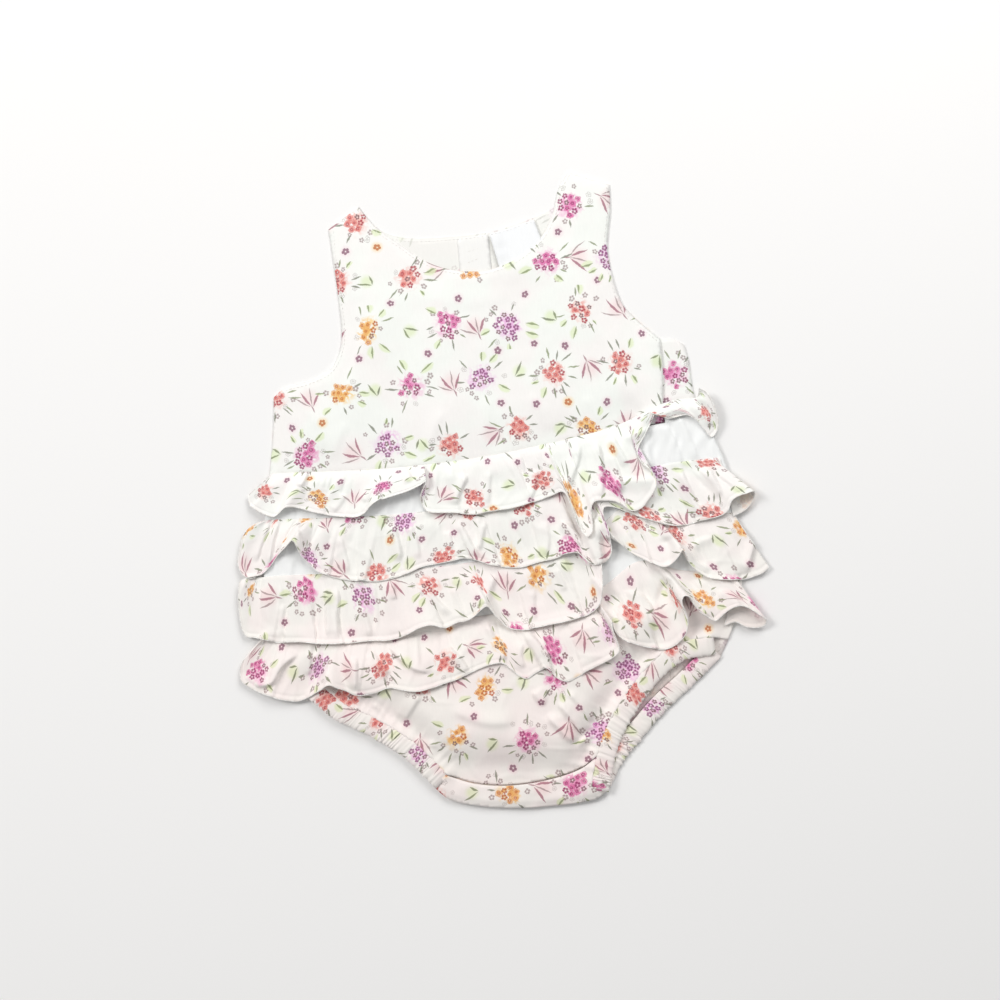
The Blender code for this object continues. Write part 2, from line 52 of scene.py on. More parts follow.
# Curves and unevenness.
def smoothCurve(points, step):
    p = np.array(points, float)
    p = np.vstack([2 * p[0] - p[1], p, 2 * p[-1] - p[-2]])
    out = []
    for i in range(1, len(p) - 2):
        a, b, c, d = p[i - 1:i + 3]
        t1, t2, t3 = np.cumsum([max(np.linalg.norm(q), 1e-6) ** 0.5 for q in (b - a, c - b, d - c)])
        count = max(1, round(float(np.linalg.norm(c - b)) / step))
        for t in np.linspace(t1, t2, count, endpoint=False):
            ab = a + (b - a) * t / t1
            bc = b + (c - b) * (t - t1) / (t2 - t1)
            cd = c + (d - c) * (t - t2) / (t3 - t2)
            abc = ab + (bc - ab) * t / t2
            bcd = bc + (cd - bc) * (t - t1) / (t3 - t1)
            out.append(abc + (bcd - abc) * (t - t1) / (t2 - t1))
    return np.array(out + [p[-2]])


def runOf(points):
    return np.concatenate([[0], np.cumsum(np.linalg.norm(np.diff(points, axis=0), axis=1))])


def evenly(points, count, run=None):
    p = np.array(points, float)
    run = runOf(p) if run is None else run
    at = np.linspace(0, run[-1], count)
    return np.stack([np.interp(at, run, p[:, i]) for i in range(p.shape[1])], axis=1)


def ripple(t, seed):
    # smooth unevenness from -1 to 1, one bend per unit of t
    table = np.random.RandomState(seed).uniform(-1, 1, 257)
    i = np.floor(t).astype(int)
    f = t - i
    f = f * f * (3 - 2 * f)
    return table[i % 257] * (1 - f) + table[(i + 1) % 257] * f


def rumple(x, y, size, seed):
    # the same over a surface, bends about size apart
    table = np.random.RandomState(seed).uniform(-1, 1, (64, 64))
    u, v = x / size + 200, y / size + 200
    i, j = np.floor(u).astype(int), np.floor(v).astype(int)
    f, g = u - i, v - j
    f, g = f * f * (3 - 2 * f), g * g * (3 - 2 * g)
    low = table[i % 64, j % 64] * (1 - f) + table[(i + 1) % 64, j % 64] * f
    high = table[i % 64, (j + 1) % 64] * (1 - f) + table[(i + 1) % 64, (j + 1) % 64] * f
    return low * (1 - g) + high * g


def eased(t):
    t = np.clip(t, 0, 1)
    return t * t * (3 - 2 * t)


def nearLine(x, y, line):
    run = runOf(line)
    away, arc, side = np.full(len(x), 1e9), np.zeros(len(x)), np.zeros(len(x))
    for i in range(len(line) - 1):
        step = line[i + 1] - line[i]
        t = np.clip(((x - line[i, 0]) * step[0] + (y - line[i, 1]) * step[1]) / (step @ step), 0, 1)
        dx, dy = x - line[i, 0] - t * step[0], y - line[i, 1] - t * step[1]
        far = np.hypot(dx, dy)
        closer = far < away
        away = np.where(closer, far, away)
        arc = np.where(closer, run[i] + t * (run[i + 1] - run[i]), arc)
        side = np.where(closer, np.sign(step[0] * dy - step[1] * dx), side)  # above 0 on the line's left
    return away, arc, side


def folded(x, y, table):
    # each row: rise, width on the line's left, width on its right, and the fold's line
    total = np.zeros_like(x)
    for rise, wide, sharp, points in table:
        line = smoothCurve(points, 2.0)
        away, arc, side = nearLine(x, y, line)
        length = runOf(line)[-1]
        fade = eased(np.minimum(arc, length - arc) / (0.22 * length))
        total += rise * fade * np.exp(-(away / np.where(side > 0, wide, sharp)) ** 2)
    return total


def wrinkled(x, y, size, seed, rise):
    total = np.zeros(len(x))  # thin straight ridges where a slow wave crosses its middle
    for k in range(3):
        turn = 0.4 + 1.1 * k + 0.3 * seed
        u = x * math.cos(turn) + y * math.sin(turn)
        wave = np.sin(u / size * 2.3 + 1.7 * rumple(x, y, 2.2 * size, seed + 10 * k))
        here = np.clip(0.2 + 1.2 * rumple(x, y, 1.6 * size, seed + 10 * k + 5), 0, 1)
        total += rise * here * np.exp(-(wave / 0.22) ** 2)
    return total


# What the CAD solids give: outlines and forms.
def cadMesh(node):
    bm = bmesh.new()
    bm.from_mesh(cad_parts[node].data)
    bmesh.ops.remove_doubles(bm, verts=bm.verts, dist=1e-6)
    bm.normal_update()
    return bm


def cadOutline(node):
    bm = cadMesh(node)  # the outline of a solid's under side
    under = {face for face in bm.faces if face.normal.z < -0.5}
    following = {}
    for face in under:
        for loop in face.loops:
            if sum(other in under for other in loop.edge.link_faces) == 1:
                following[loop.vert] = loop.link_loop_next.vert
    loops = []
    while following:
        start, vert = next(iter(following.items()))
        ring = []
        while vert in following:
            ring.append((vert.co.x / mm + middle[0], vert.co.y / mm + middle[1]))
            vert = following.pop(vert)
        loops.append(ring)
    bm.free()
    return np.array(max(loops, key=len))[::-1]


def rounded(ring, step, corner=32):
    ahead = np.roll(ring, -1, axis=0) - ring
    turn = np.degrees(np.arctan2(ahead[:, 1], ahead[:, 0]))
    turn = np.abs((turn - np.roll(turn, 1) + 180) % 360 - 180)
    corners = list(np.where(turn > corner)[0]) or [0]
    out = []
    for a, b in zip(corners, corners[1:] + [corners[0] + len(ring)]):
        out += [tuple(p) for p in smoothCurve(ring[np.arange(a, b + 1) % len(ring)], step)[:-1]]
    return np.array(out)


probe = {"count": 8, "from": 0.1}  # looks down around a point, from this many metres up


def heightOf(tree, x, y, reach, mean=False):
    turns = np.linspace(0, 2 * math.pi, probe["count"], endpoint=False)
    around = [(0.0, 0.0)] + [(reach * math.cos(a), reach * math.sin(a)) for a in turns]
    down = Vector((0, 0, -1))
    px, py = (x - middle[0]) * mm, (y - middle[1]) * mm
    best = np.full(len(x), np.nan)
    for i in range(len(x)):
        hits = []
        for dx, dy in around:
            start = Vector((px[i] + dx * mm, py[i] + dy * mm, probe["from"]))
            hit = tree.ray_cast(start, down)[0]
            if hit is not None:
                hits.append(hit.z)
        if hits:
            best[i] = (sum(hits) / len(hits) if mean else max(hits)) / mm
    return best


def cadForm(node, x, y, reach=4.0):
    bm = cadMesh(node)  # the solid's upper surface, with its facets smoothed away
    tree = BVHTree.FromBMesh(bm)
    bm.free()
    z = heightOf(tree, x, y, reach, mean=True)
    return np.where(np.isnan(z), np.nanmin(z), z)


# Meshes.
cloth = {"thick": 0.35, "gap": 0.12}


def addPiece(name, points, faces, uvs, materials):
    mesh = bpy.data.meshes.new(name)
    p = np.array(points, float)
    p[:, :2] -= middle
    mesh.from_pydata((p * mm).tolist(), [], faces)
    for item in materials:
        mesh.materials.append(item)
    layer = mesh.uv_layers.new(name="cut")
    corner = np.empty(len(mesh.loops), int)
    mesh.loops.foreach_get("vertex_index", corner)
    layer.data.foreach_set("uv", (np.array(uvs, float)[corner] * mm).ravel())
    mesh.shade_smooth()
    obj = bpy.data.objects.new(name, mesh)
    garment.objects.link(obj)
    return obj


def bake(obj):
    graph = bpy.context.evaluated_depsgraph_get()
    mesh = bpy.data.meshes.new_from_object(obj.evaluated_get(graph), preserve_all_data_layers=True,
                                           depsgraph=graph)
    obj.modifiers.clear()
    obj.data = mesh
    return obj


def thicken(obj, thick, offset=-1.0, wrongSide=False):
    solid = obj.modifiers.new("cloth", "SOLIDIFY")
    solid.thickness = thick * mm
    solid.offset = offset
    solid.material_offset = 1 if wrongSide else 0
    return bake(obj)


def treeOf(objects):
    points, faces = [], []
    for obj in objects:
        first = len(points)
        points += [v.co[:] for v in obj.data.vertices]
        faces += [[first + i for i in p.vertices] for p in obj.data.polygons]
    return BVHTree.FromPolygons(points, faces)


def filled(ring, step):
    low, high = ring.min(axis=0), ring.max(axis=0)
    points = []
    for r, y in enumerate(np.arange(low[1], high[1], step * 0.866)):
        points += [(x, y) for x in np.arange(low[0] + 0.5 * step * (r % 2), high[0], step)]
    points = np.array(points)
    kept = fromEdge(points[:, 0], points[:, 1], ring) > 0.6 * step
    points = np.vstack([ring, points[kept]])
    loop = list(range(len(ring)))
    flat, _, faces, *_ = delaunay_2d_cdt([Vector(p) for p in points], [], [loop], 1, 1e-5)
    return np.array([v[:] for v in flat]), faces


def fromEdge(x, y, ring):
    out = np.empty(len(x))
    for start in range(0, len(x), 2000):
        part = slice(start, start + 2000)
        away = (x[part, None] - ring[None, :, 0]) ** 2 + (y[part, None] - ring[None, :, 1]) ** 2
        out[part] = np.sqrt(away.min(axis=1))
    return out


# Materials.
def tint(red, green, blue):
    channel = [c / 255 for c in (red, green, blue)]  # from the values a colour picker shows
    return tuple(c / 12.92 if c <= 0.04045 else ((c + 0.055) / 1.055) ** 2.4 for c in channel) + (1.0,)


def feed(tree, socket, value):
    if isinstance(value, bpy.types.NodeSocket):
        tree.links.new(value, socket)
    else:
        socket.default_value = value


def calc(tree, operation, *values):
    node = tree.nodes.new("ShaderNodeMath")
    node.operation = operation
    for socket, value in zip(node.inputs, values):
        feed(tree, socket, value)
    return node.outputs[0]


def vectorCalc(tree, operation, *values):
    node = tree.nodes.new("ShaderNodeVectorMath")
    node.operation = operation
    for socket, value in zip(node.inputs, values):
        feed(tree, socket, value)
    return node.outputs["Value" if operation in ("LENGTH", "DOT_PRODUCT") else "Vector"]


def plus(tree, one, two):
    return calc(tree, "ADD", one, two)


def minus(tree, one, two):
    return calc(tree, "SUBTRACT", one, two)


def times(tree, one, two):
    return calc(tree, "MULTIPLY", one, two)


def lessThan(tree, one, two):
    return calc(tree, "LESS_THAN", one, two)


def moreThan(tree, one, two):
    return calc(tree, "GREATER_THAN", one, two)


def lengthOf(tree, vector):
    return vectorCalc(tree, "LENGTH", vector)


def scaled(tree, vector, factor):
    node = tree.nodes.new("ShaderNodeVectorMath")
    node.operation = "SCALE"
    feed(tree, node.inputs[0], vector)
    feed(tree, node.inputs["Scale"], factor)
    return node.outputs["Vector"]


def parts(tree, vector):
    node = tree.nodes.new("ShaderNodeSeparateXYZ")
    feed(tree, node.inputs[0], vector)
    return node.outputs


def joined(tree, x, y, z=0.0):
    node = tree.nodes.new("ShaderNodeCombineXYZ")
    for socket, value in zip(node.inputs, (x, y, z)):
        feed(tree, socket, value)
    return node.outputs[0]


def turned(tree, vector, angle):
    node = tree.nodes.new("ShaderNodeVectorRotate")
    node.rotation_type = "Z_AXIS"
    feed(tree, node.inputs["Vector"], vector)
    feed(tree, node.inputs["Angle"], angle)
    return node.outputs[0]


def between(tree, value, low, high):
    node = tree.nodes.new("ShaderNodeMapRange")  # 0 at low, 1 at high, eased; high may be the smaller one
    node.interpolation_type = "SMOOTHSTEP"
    feed(tree, node.inputs["Value"], value)
    feed(tree, node.inputs["From Min"], low)
    feed(tree, node.inputs["From Max"], high)
    return node.outputs[0]


def ranged(tree, value, low, high):
    node = tree.nodes.new("ShaderNodeMapRange")  # 0 to 1 becomes low to high
    feed(tree, node.inputs["Value"], value)
    feed(tree, node.inputs["To Min"], low)
    feed(tree, node.inputs["To Max"], high)
    return node.outputs[0]


def inked(tree, ground, mask, colour):
    node = tree.nodes.new("ShaderNodeMix")
    node.data_type = "RGBA"
    feed(tree, node.inputs[0], mask)
    feed(tree, node.inputs[6], ground)
    feed(tree, node.inputs[7], colour)
    return node.outputs[2]


def luckOf(tree, cell):
    node = tree.nodes.new("ShaderNodeTexWhiteNoise")
    node.noise_dimensions = "3D"
    feed(tree, node.inputs["Vector"], cell)
    return node.outputs["Color"]


def cloudy(tree, vector, scale, detail=2.0):
    node = tree.nodes.new("ShaderNodeTexNoise")
    feed(tree, node.inputs["Vector"], vector)
    node.inputs["Scale"].default_value = scale
    node.inputs["Detail"].default_value = detail
    return node.outputs


def charted(tree, index, rows):
    node = tree.nodes.new("ShaderNodeValToRGB")  # a colour or a grey for each whole index, from 0
    node.color_ramp.interpolation = "CONSTANT"
    stops = node.color_ramp.elements
    for i, value in enumerate(rows):
        stop = stops[i] if i < 2 else stops.new(i / len(rows))
        stop.position = i / len(rows)
        stop.color = value if hasattr(value, "__len__") else (value, value, value, 1)
    feed(tree, node.inputs[0], calc(tree, "DIVIDE", plus(tree, index, 0.5), float(len(rows))))
    return node.outputs[0]


def newGroup(name, ins, outs):
    tree = bpy.data.node_groups.new(name, "ShaderNodeTree")
    for label, kind, value in ins:
        socket = tree.interface.new_socket(name=label, in_out="INPUT", socket_type=kind)
        if value is not None:
            socket.default_value = value
    for label, kind in outs:
        tree.interface.new_socket(name=label, in_out="OUTPUT", socket_type=kind)
    return tree, tree.nodes.new("NodeGroupInput").outputs, tree.nodes.new("NodeGroupOutput").inputs


# Each posy kind: petals, their dark dots, wash, share of florets that are dots alone, radius across and up.
posies = {
    "kinds": ("coral", "lilac", "orange", "coral", "magenta"),
    "coral": (tint(240, 146, 138), tint(184, 78, 88), tint(252, 206, 198), 0.42, 8.4, 7.8),
    "lilac": (tint(236, 150, 218), tint(150, 84, 132), tint(248, 206, 242), 1.3, 10.0, 9.0),
    "orange": (tint(247, 188, 116), tint(200, 112, 62), tint(254, 214, 132), 0.34, 9.2, 6.8),
    "magenta": (tint(236, 128, 184), tint(160, 60, 112), tint(249, 188, 224), 0.5, 8.8, 9.0),
    "pitch": (44.0, 35.5),
    "sway": 4.2,
    "floretPitch": (4.1, 3.8),
    "petal": (1.2, 0.98),
    "dot": (1.18, 0.7),
    "heart": (0.62, 0.44),
    "soft": 0.4,
}
leafInk = {
    "grey": tint(136, 140, 124),
    "olive": tint(148, 160, 120),
    "rose": tint(176, 120, 136),
    "roseWash": tint(252, 216, 220),
    "lime": tint(234, 246, 204),
    "plum": tint(142, 94, 118),
    "pinkHalo": tint(251, 222, 232),
    "ghost": tint(176, 168, 166),
    "umber": tint(140, 108, 112),
}


def bricks(tree, place, pitch, shift, sway, seed):
    q = parts(tree, vectorCalc(tree, "ADD", place, (shift[0], shift[1], 0)))
    row = calc(tree, "ROUND", calc(tree, "DIVIDE", q[1], pitch[1]))
    odd = times(tree, calc(tree, "FLOORED_MODULO", row, 2.0), 0.5)
    column = calc(tree, "ROUND", plus(tree, calc(tree, "DIVIDE", q[0], pitch[0]), odd))
    cell = joined(tree, column, row, seed)
    luck = luckOf(tree, cell)
    away = parts(tree, scaled(tree, vectorCalc(tree, "SUBTRACT", luck, (0.5, 0.5, 0.5)), 2 * sway))
    x = minus(tree, q[0], times(tree, minus(tree, column, odd), pitch[0]))
    y = minus(tree, q[1], times(tree, row, pitch[1]))
    local = joined(tree, minus(tree, x, away[0]), minus(tree, y, away[1]))
    return local, cell, parts(tree, luck), column, row


def petals(tree, local, turn, reach, radius):
    p = parts(tree, local)
    r = lengthOf(tree, local)
    fifth = plus(tree, times(tree, calc(tree, "ARCTAN2", p[1], p[0]), 2.5 / math.pi), turn)
    fold = times(tree, minus(tree, fifth, calc(tree, "ROUND", fifth)), 0.4 * math.pi)
    x = minus(tree, times(tree, r, calc(tree, "COSINE", fold)), reach)
    y = times(tree, r, calc(tree, "SINE", fold))
    return minus(tree, lengthOf(tree, joined(tree, x, y)), radius)  # under 0 in a petal


def leaf(tree, along, aside, start, end, width, soft=0.24):
    t = calc(tree, "DIVIDE", minus(tree, along, start), minus(tree, end, start))
    held = times(tree, moreThan(tree, t, 0.0), lessThan(tree, t, 1.0))
    bow = calc(tree, "SINE", times(tree, t, math.pi))
    edge = minus(tree, calc(tree, "ABSOLUTE", aside), times(tree, bow, width))
    return times(tree, between(tree, edge, soft, -soft), held)


def fan(tree, local, stray, spread, seedCell):
    p = parts(tree, local)
    slot = calc(tree, "FLOOR", calc(tree, "DIVIDE", calc(tree, "ARCTAN2", p[1], p[0]), spread))
    luck = parts(tree, luckOf(tree, vectorCalc(tree, "ADD", seedCell, joined(tree, 0.0, 0.0, slot))))
    centre = times(tree, plus(tree, slot, 0.5), spread)
    centre = plus(tree, centre, ranged(tree, luck[0], -stray, stray))
    q = parts(tree, turned(tree, local, times(tree, centre, -1.0)))
    return q[0], q[1], slot, luck  # along and aside of the leaf in this sector


def both(tree, *masks):
    out = masks[0]
    for mask in masks[1:]:
        out = times(tree, out, mask)
    return out


def addPosies(tree, place, ground):
    kinds = [posies[kind] for kind in posies["kinds"]]
    local, cell, luck, column, row = bricks(tree, place, posies["pitch"], (0, 0), posies["sway"], 1.0)
    chart = plus(tree, times(tree, column, 2.0), times(tree, row, 3.0))
    kind = calc(tree, "FLOORED_MODULO", chart, float(len(kinds)))
    petal, dark, wash = (charted(tree, kind, [k[i] for k in kinds]) for i in range(3))
    dotted = charted(tree, kind, [k[3] for k in kinds])
    size = joined(tree, times(tree, charted(tree, kind, [k[4] / 10 for k in kinds]), 10.0),
                  times(tree, charted(tree, kind, [k[5] / 10 for k in kinds]), 10.0), 1.0)
    wide = parts(tree, size)[0]
    local = turned(tree, local, ranged(tree, luck[2], -1.3, 1.3))
    bleed = vectorCalc(tree, "SUBTRACT", cloudy(tree, place, 0.22)["Color"], (0.5, 0.5, 0.5))
    ragged = vectorCalc(tree, "ADD", local, scaled(tree, bleed, 6.5))
    spread = lengthOf(tree, vectorCalc(tree, "DIVIDE", ragged, size))
    out = inked(tree, ground, times(tree, between(tree, spread, 1.2, 0.35), 0.95), wash)

    strewn = vectorCalc(tree, "ADD", local, scaled(tree, cell, 7.3))
    floret, _, floretLuck, _, _ = bricks(tree, strewn, posies["floretPitch"], (0, 0), 0.5, 5.0)
    grown = scaled(tree, floret, ranged(tree, floretLuck[0], 0.84, 1.2))
    centre = vectorCalc(tree, "SUBTRACT", local, floret)
    outward = lengthOf(tree, vectorCalc(tree, "DIVIDE", centre, size))
    inside = lessThan(tree, outward, ranged(tree, floretLuck[2], 0.62, 1.0))
    spin = times(tree, floretLuck[0], 5.0)
    onSide = parts(tree, vectorCalc(tree, "DIVIDE", centre, size))[1]
    alone = lessThan(tree, plus(tree, floretLuck[1], times(tree, onSide, 0.5)), dotted)
    filled = minus(tree, 1.0, alone)
    pigment = ranged(tree, cloudy(tree, place, 0.8)["Fac"], 0.1, 1.5)
    offSide = vectorCalc(tree, "SUBTRACT", vectorCalc(tree, "DIVIDE", ragged, size), (0, 0.3, 0))
    core = between(tree, lengthOf(tree, offSide), 0.85, 0.3)
    stain = both(tree, core, ranged(tree, dotted, 0.95, 0.3), pigment)
    out = inked(tree, out, stain, petal)
    soft = posies["soft"]
    blobs = between(tree, petals(tree, grown, spin, *posies["petal"]), soft, -soft)
    out = inked(tree, out, both(tree, blobs, filled, inside, pigment), petal)
    dots = between(tree, petals(tree, grown, spin, *posies["dot"]), 0.3, -0.3)
    heart = between(tree, petals(tree, grown, spin, *posies["heart"]), soft, -soft)
    rim = between(tree, calc(tree, "ABSOLUTE", petals(tree, grown, spin, *posies["petal"])), soft, 0.0)
    inner = calc(tree, "MAXIMUM", heart, both(tree, rim, ranged(tree, pigment, 0.1, 0.45)))
    duller = both(tree, alone, between(tree, floretLuck[0], 0.5, 0.7))
    outer = both(tree, dots, alone, ranged(tree, pigment, 0.6, 1.0))
    drawn = calc(tree, "MAXIMUM", outer, both(tree, inner, filled, ranged(tree, pigment, 0.5, 0.95)))
    out = inked(tree, out, both(tree, drawn, inside), inked(tree, dark, duller, leafInk["umber"]))

    ring = both(tree, moreThan(tree, outward, 1.02), lessThan(tree, outward, 1.55),
                lessThan(tree, floretLuck[2], 0.3))
    outline = between(tree, calc(tree, "ABSOLUTE", petals(tree, grown, spin, 1.0, 0.64)), 0.36, 0.0)
    specks = between(tree, petals(tree, grown, spin, 1.1, 0.62), 0.36, -0.36)
    asOutline = moreThan(tree, floretLuck[1], 0.62)
    out = inked(tree, out, both(tree, outline, ring, asOutline, 0.55), leafInk["ghost"])
    asSpecks = lessThan(tree, floretLuck[1], 0.62)
    out = inked(tree, out, both(tree, specks, ring, asSpecks, 0.7), leafInk["umber"])

    leafCell = vectorCalc(tree, "ADD", cell, (3, 9, 2))
    along, aside, _, leafLuck = fan(tree, local, 0.16, 2 * math.pi / 13, leafCell)
    lean = times(tree, minus(tree, leafLuck[1], 0.25), 1.0)
    start = plus(tree, times(tree, wide, 0.9), times(tree, leafLuck[2], 2.6))
    aside = plus(tree, aside, times(tree, lean, minus(tree, along, start)))
    end = plus(tree, start, ranged(tree, leafLuck[0], 4.6, 9.4))
    shown = lessThan(tree, leafLuck[1], 0.56)
    limy = both(tree, shown, moreThan(tree, leafLuck[2], 0.72), 0.75)
    washed = leaf(tree, along, plus(tree, aside, 0.9), start, end, 2.1, 0.9)
    out = inked(tree, out, both(tree, washed, limy), leafInk["lime"])
    green = inked(tree, leafInk["grey"], between(tree, leafLuck[2], 0.3, 0.7), leafInk["olive"])
    return inked(tree, out, both(tree, leaf(tree, along, aside, start, end, 0.58), shown, 0.86), green)


def addSprigs(tree, place, ground):
    pitch = posies["pitch"]
    local, cell, luck, column, row = bricks(tree, place, pitch, (pitch[0] / 2, 0), 2.6, 2.0)
    local = turned(tree, local, times(tree, luck[2], 2 * math.pi))
    rosy = lessThan(tree, calc(tree, "FLOORED_MODULO", plus(tree, column, row), 2.0), 0.5)

    foot = vectorCalc(tree, "ADD", local, (7.0, 0, 0))
    halo = between(tree, lengthOf(tree, vectorCalc(tree, "ADD", local, (1.0, 0, 0))), 8.5, 1.5)
    out = inked(tree, ground, both(tree, halo, rosy, 0.5), leafInk["roseWash"])
    along, aside, slot, leafLuck = fan(tree, foot, 0.07, 0.5, cell)
    bend = times(tree, calc(tree, "POWER", minus(tree, along, 8.0), 2.0), 0.012)
    aside = minus(tree, plus(tree, aside, bend), 0.4)
    shown = both(tree, moreThan(tree, slot, -2.5), lessThan(tree, slot, 1.5))
    bold = lessThan(tree, calc(tree, "FLOORED_MODULO", slot, 2.0), 0.5)
    tip = ranged(tree, leafLuck[1], 11.0, 15.5)
    blade = leaf(tree, along, aside, 1.2, tip, ranged(tree, bold, 0.5, 0.82))
    p = parts(tree, foot)
    stem = leaf(tree, times(tree, p[0], -1.0), plus(tree, p[1], 0.2), -2.2, 3.6, 0.45)
    shade = inked(tree, leafInk["ghost"], ranged(tree, bold, 0.3, 1.0), leafInk["rose"])
    sprig = calc(tree, "MAXIMUM", both(tree, blade, shown), stem)
    out = inked(tree, out, both(tree, sprig, rosy, 0.88), shade)

    limy = minus(tree, 1.0, rosy)
    corner = vectorCalc(tree, "ADD", local, (4.0, 0, 0))
    fromWedge = vectorCalc(tree, "SUBTRACT", corner, (4.4, 0.8, 0))
    wedge = between(tree, lengthOf(tree, fromWedge), 5.6, 1.6)
    out = inked(tree, out, both(tree, wedge, limy, 0.75), leafInk["lime"])
    along, aside, slot, leafLuck = fan(tree, corner, 0.12, 1.0, vectorCalc(tree, "ADD", cell, (5, 1, 7)))
    shown = lessThan(tree, calc(tree, "ABSOLUTE", plus(tree, slot, 0.5)), 1.0)
    further = times(tree, plus(tree, slot, 1.0), 3.6)
    tip = plus(tree, ranged(tree, leafLuck[1], 6.2, 7.6), further)
    blade = leaf(tree, along, aside, 0.4, tip, 0.66)
    green = inked(tree, leafInk["grey"], ranged(tree, leafLuck[2], 0.1, 0.8), leafInk["olive"])
    return inked(tree, out, both(tree, blade, shown, limy, 0.92), green)


def addFlorets(tree, place, ground, shift, seed, share):
    local, _, luck, _, _ = bricks(tree, place, posies["pitch"], shift, 3.4, seed)
    edge = petals(tree, local, times(tree, luck[2], 5.0), 1.35, 0.9)
    shown = lessThan(tree, luck[2], share)
    warm = lessThan(tree, luck[0], 0.16)
    glow = between(tree, lengthOf(tree, local), 4.6, 1.5)
    halo = inked(tree, leafInk["pinkHalo"], warm, posies["orange"][2])
    out = inked(tree, ground, both(tree, glow, shown, 0.5), halo)
    dot = inked(tree, leafInk["plum"], warm, posies["orange"][1])
    return inked(tree, out, both(tree, between(tree, edge, 0.26, -0.22), shown, 0.85), dot)


def makePrint():
    tree, ins, outs = newGroup("floralPrint", [("Cut Place", "NodeSocketVector", None)],
                               [("Colour", "NodeSocketColor")])
    place = scaled(tree, ins["Cut Place"], perMetre)
    for scale, shift in ((0.11, 2.4), (0.7, 0.7)):
        wobble = vectorCalc(tree, "SUBTRACT", cloudy(tree, place, scale)["Color"], (0.5, 0.5, 0.5))
        place = vectorCalc(tree, "ADD", place, scaled(tree, wobble, shift))
    pitch = posies["pitch"]
    paleWashAndLowShade = cloudy(tree, place, 0.03)["Fac"]
    out = inked(tree, tint(255, 252, 251), between(tree, paleWashAndLowShade, 0.4, 0.6), tint(253, 255, 252))
    out = addFlorets(tree, place, out, (pitch[0] / 4, pitch[1] / 2), 3.0, 0.9)
    out = addFlorets(tree, place, out, (-pitch[0] / 4, pitch[1] / 2), 4.0, 0.4)
    out = addSprigs(tree, place, out)
    out = addPosies(tree, place, out)
    tree.links.new(out, outs["Colour"])
    return tree


def makeWeave():
    tree, ins, outs = newGroup("plainWeave", [("Cut Place", "NodeSocketVector", None),
                                              ("Thread Pitch", "NodeSocketFloat", 0.36)],
                               [("Height", "NodeSocketFloat"), ("Slub", "NodeSocketFloat")])
    turns = vectorCalc(tree, "DIVIDE", scaled(tree, ins["Cut Place"], perMetre * math.pi),
                       joined(tree, ins["Thread Pitch"], ins["Thread Pitch"], 1.0))
    sines = [calc(tree, "SINE", axis) for axis in parts(tree, turns)[:2]]
    halves = [calc(tree, "SINE", times(tree, axis, 0.5)) for axis in parts(tree, turns)[:2]]
    over = moreThan(tree, times(tree, *halves), 0.0)
    warp, weft = (calc(tree, "ABSOLUTE", wave) for wave in sines)
    height = plus(tree, times(tree, warp, over), times(tree, weft, minus(tree, 1.0, over)))
    slub = cloudy(tree, vectorCalc(tree, "MULTIPLY", ins["Cut Place"], (900.0, 160.0, 1.0)), 1.0)["Fac"]
    tree.links.new(height, outs["Height"])
    tree.links.new(slub, outs["Slub"])
    return tree


printGroup = makePrint()
weaveGroup = makeWeave()
print("print and weave groups made")


def blended(tree, colour, shade, amount):
    node = tree.nodes.new("ShaderNodeMix")
    node.data_type = "RGBA"
    node.blend_type = "MULTIPLY"
    feed(tree, node.inputs[0], amount)
    feed(tree, node.inputs[6], colour)
    feed(tree, node.inputs[7], shade)
    return node.outputs[2]


clothTone = {
    "print": tint(249, 249, 247),
    "wrong": tint(244, 243, 239),
    "white": tint(247, 248, 247),
    "stand": tint(246, 245, 242),
    "label": tint(248, 249, 250),
    # painted shade: the pink tint below darkens and warms the printed cloth towards the garment's bottom,
    # fading in between the two heights after it, in metres
    "paleWashAndLowShade": tint(255, 247, 246),
    "lowShadeFrom": 0.05,
    "lowShadeTo": -0.12,
}


clothSurface = {
    "Roughness": 0.88,
    "Specular IOR Level": 0.25,
    "Sheen Weight": 0.15,
    "Sheen Roughness": 0.5,
}


def clothMaterial(name, ground, printed, weaveDepth=0.03, threadPitch=0.36):
    mat = bpy.data.materials.new(name)
    mat.use_nodes = True
    tree = mat.node_tree
    shader = tree.nodes["Principled BSDF"]
    uv = tree.nodes.new("ShaderNodeUVMap")
    uv.uv_map = "cut"
    place = uv.outputs[0]
    weave = tree.nodes.new("ShaderNodeGroup")
    weave.node_tree = weaveGroup
    weave.inputs["Thread Pitch"].default_value = threadPitch
    tree.links.new(place, weave.inputs["Cut Place"])
    colour = ground
    if printed > 0:
        pattern = tree.nodes.new("ShaderNodeGroup")
        pattern.node_tree = printGroup
        tree.links.new(place, pattern.inputs["Cut Place"])
        colour = blended(tree, colour, pattern.outputs["Colour"], printed)
        # Painted shade: printed cloth turns pinker and a little darker towards the bottom of the garment, for
        # the dimmer, warmer light there.
        spot = parts(tree, tree.nodes.new("ShaderNodeTexCoord").outputs["Object"])
        lowShadeMask = between(tree, spot[1], clothTone["lowShadeFrom"], clothTone["lowShadeTo"])
        colour = blended(tree, colour, clothTone["paleWashAndLowShade"], lowShadeMask)
    slub = ranged(tree, weave.outputs["Slub"], 0.965, 1.02)
    colour = blended(tree, colour, joined(tree, slub, slub, slub), 1.0)
    tree.links.new(colour, shader.inputs["Base Color"])
    bump = tree.nodes.new("ShaderNodeBump")
    bump.inputs["Strength"].default_value = 0.5
    bump.inputs["Distance"].default_value = weaveDepth * mm
    tree.links.new(weave.outputs["Height"], bump.inputs["Height"])
    tree.links.new(bump.outputs[0], shader.inputs["Normal"])
    for socket, value in clothSurface.items():
        shader.inputs[socket].default_value = value
    return mat


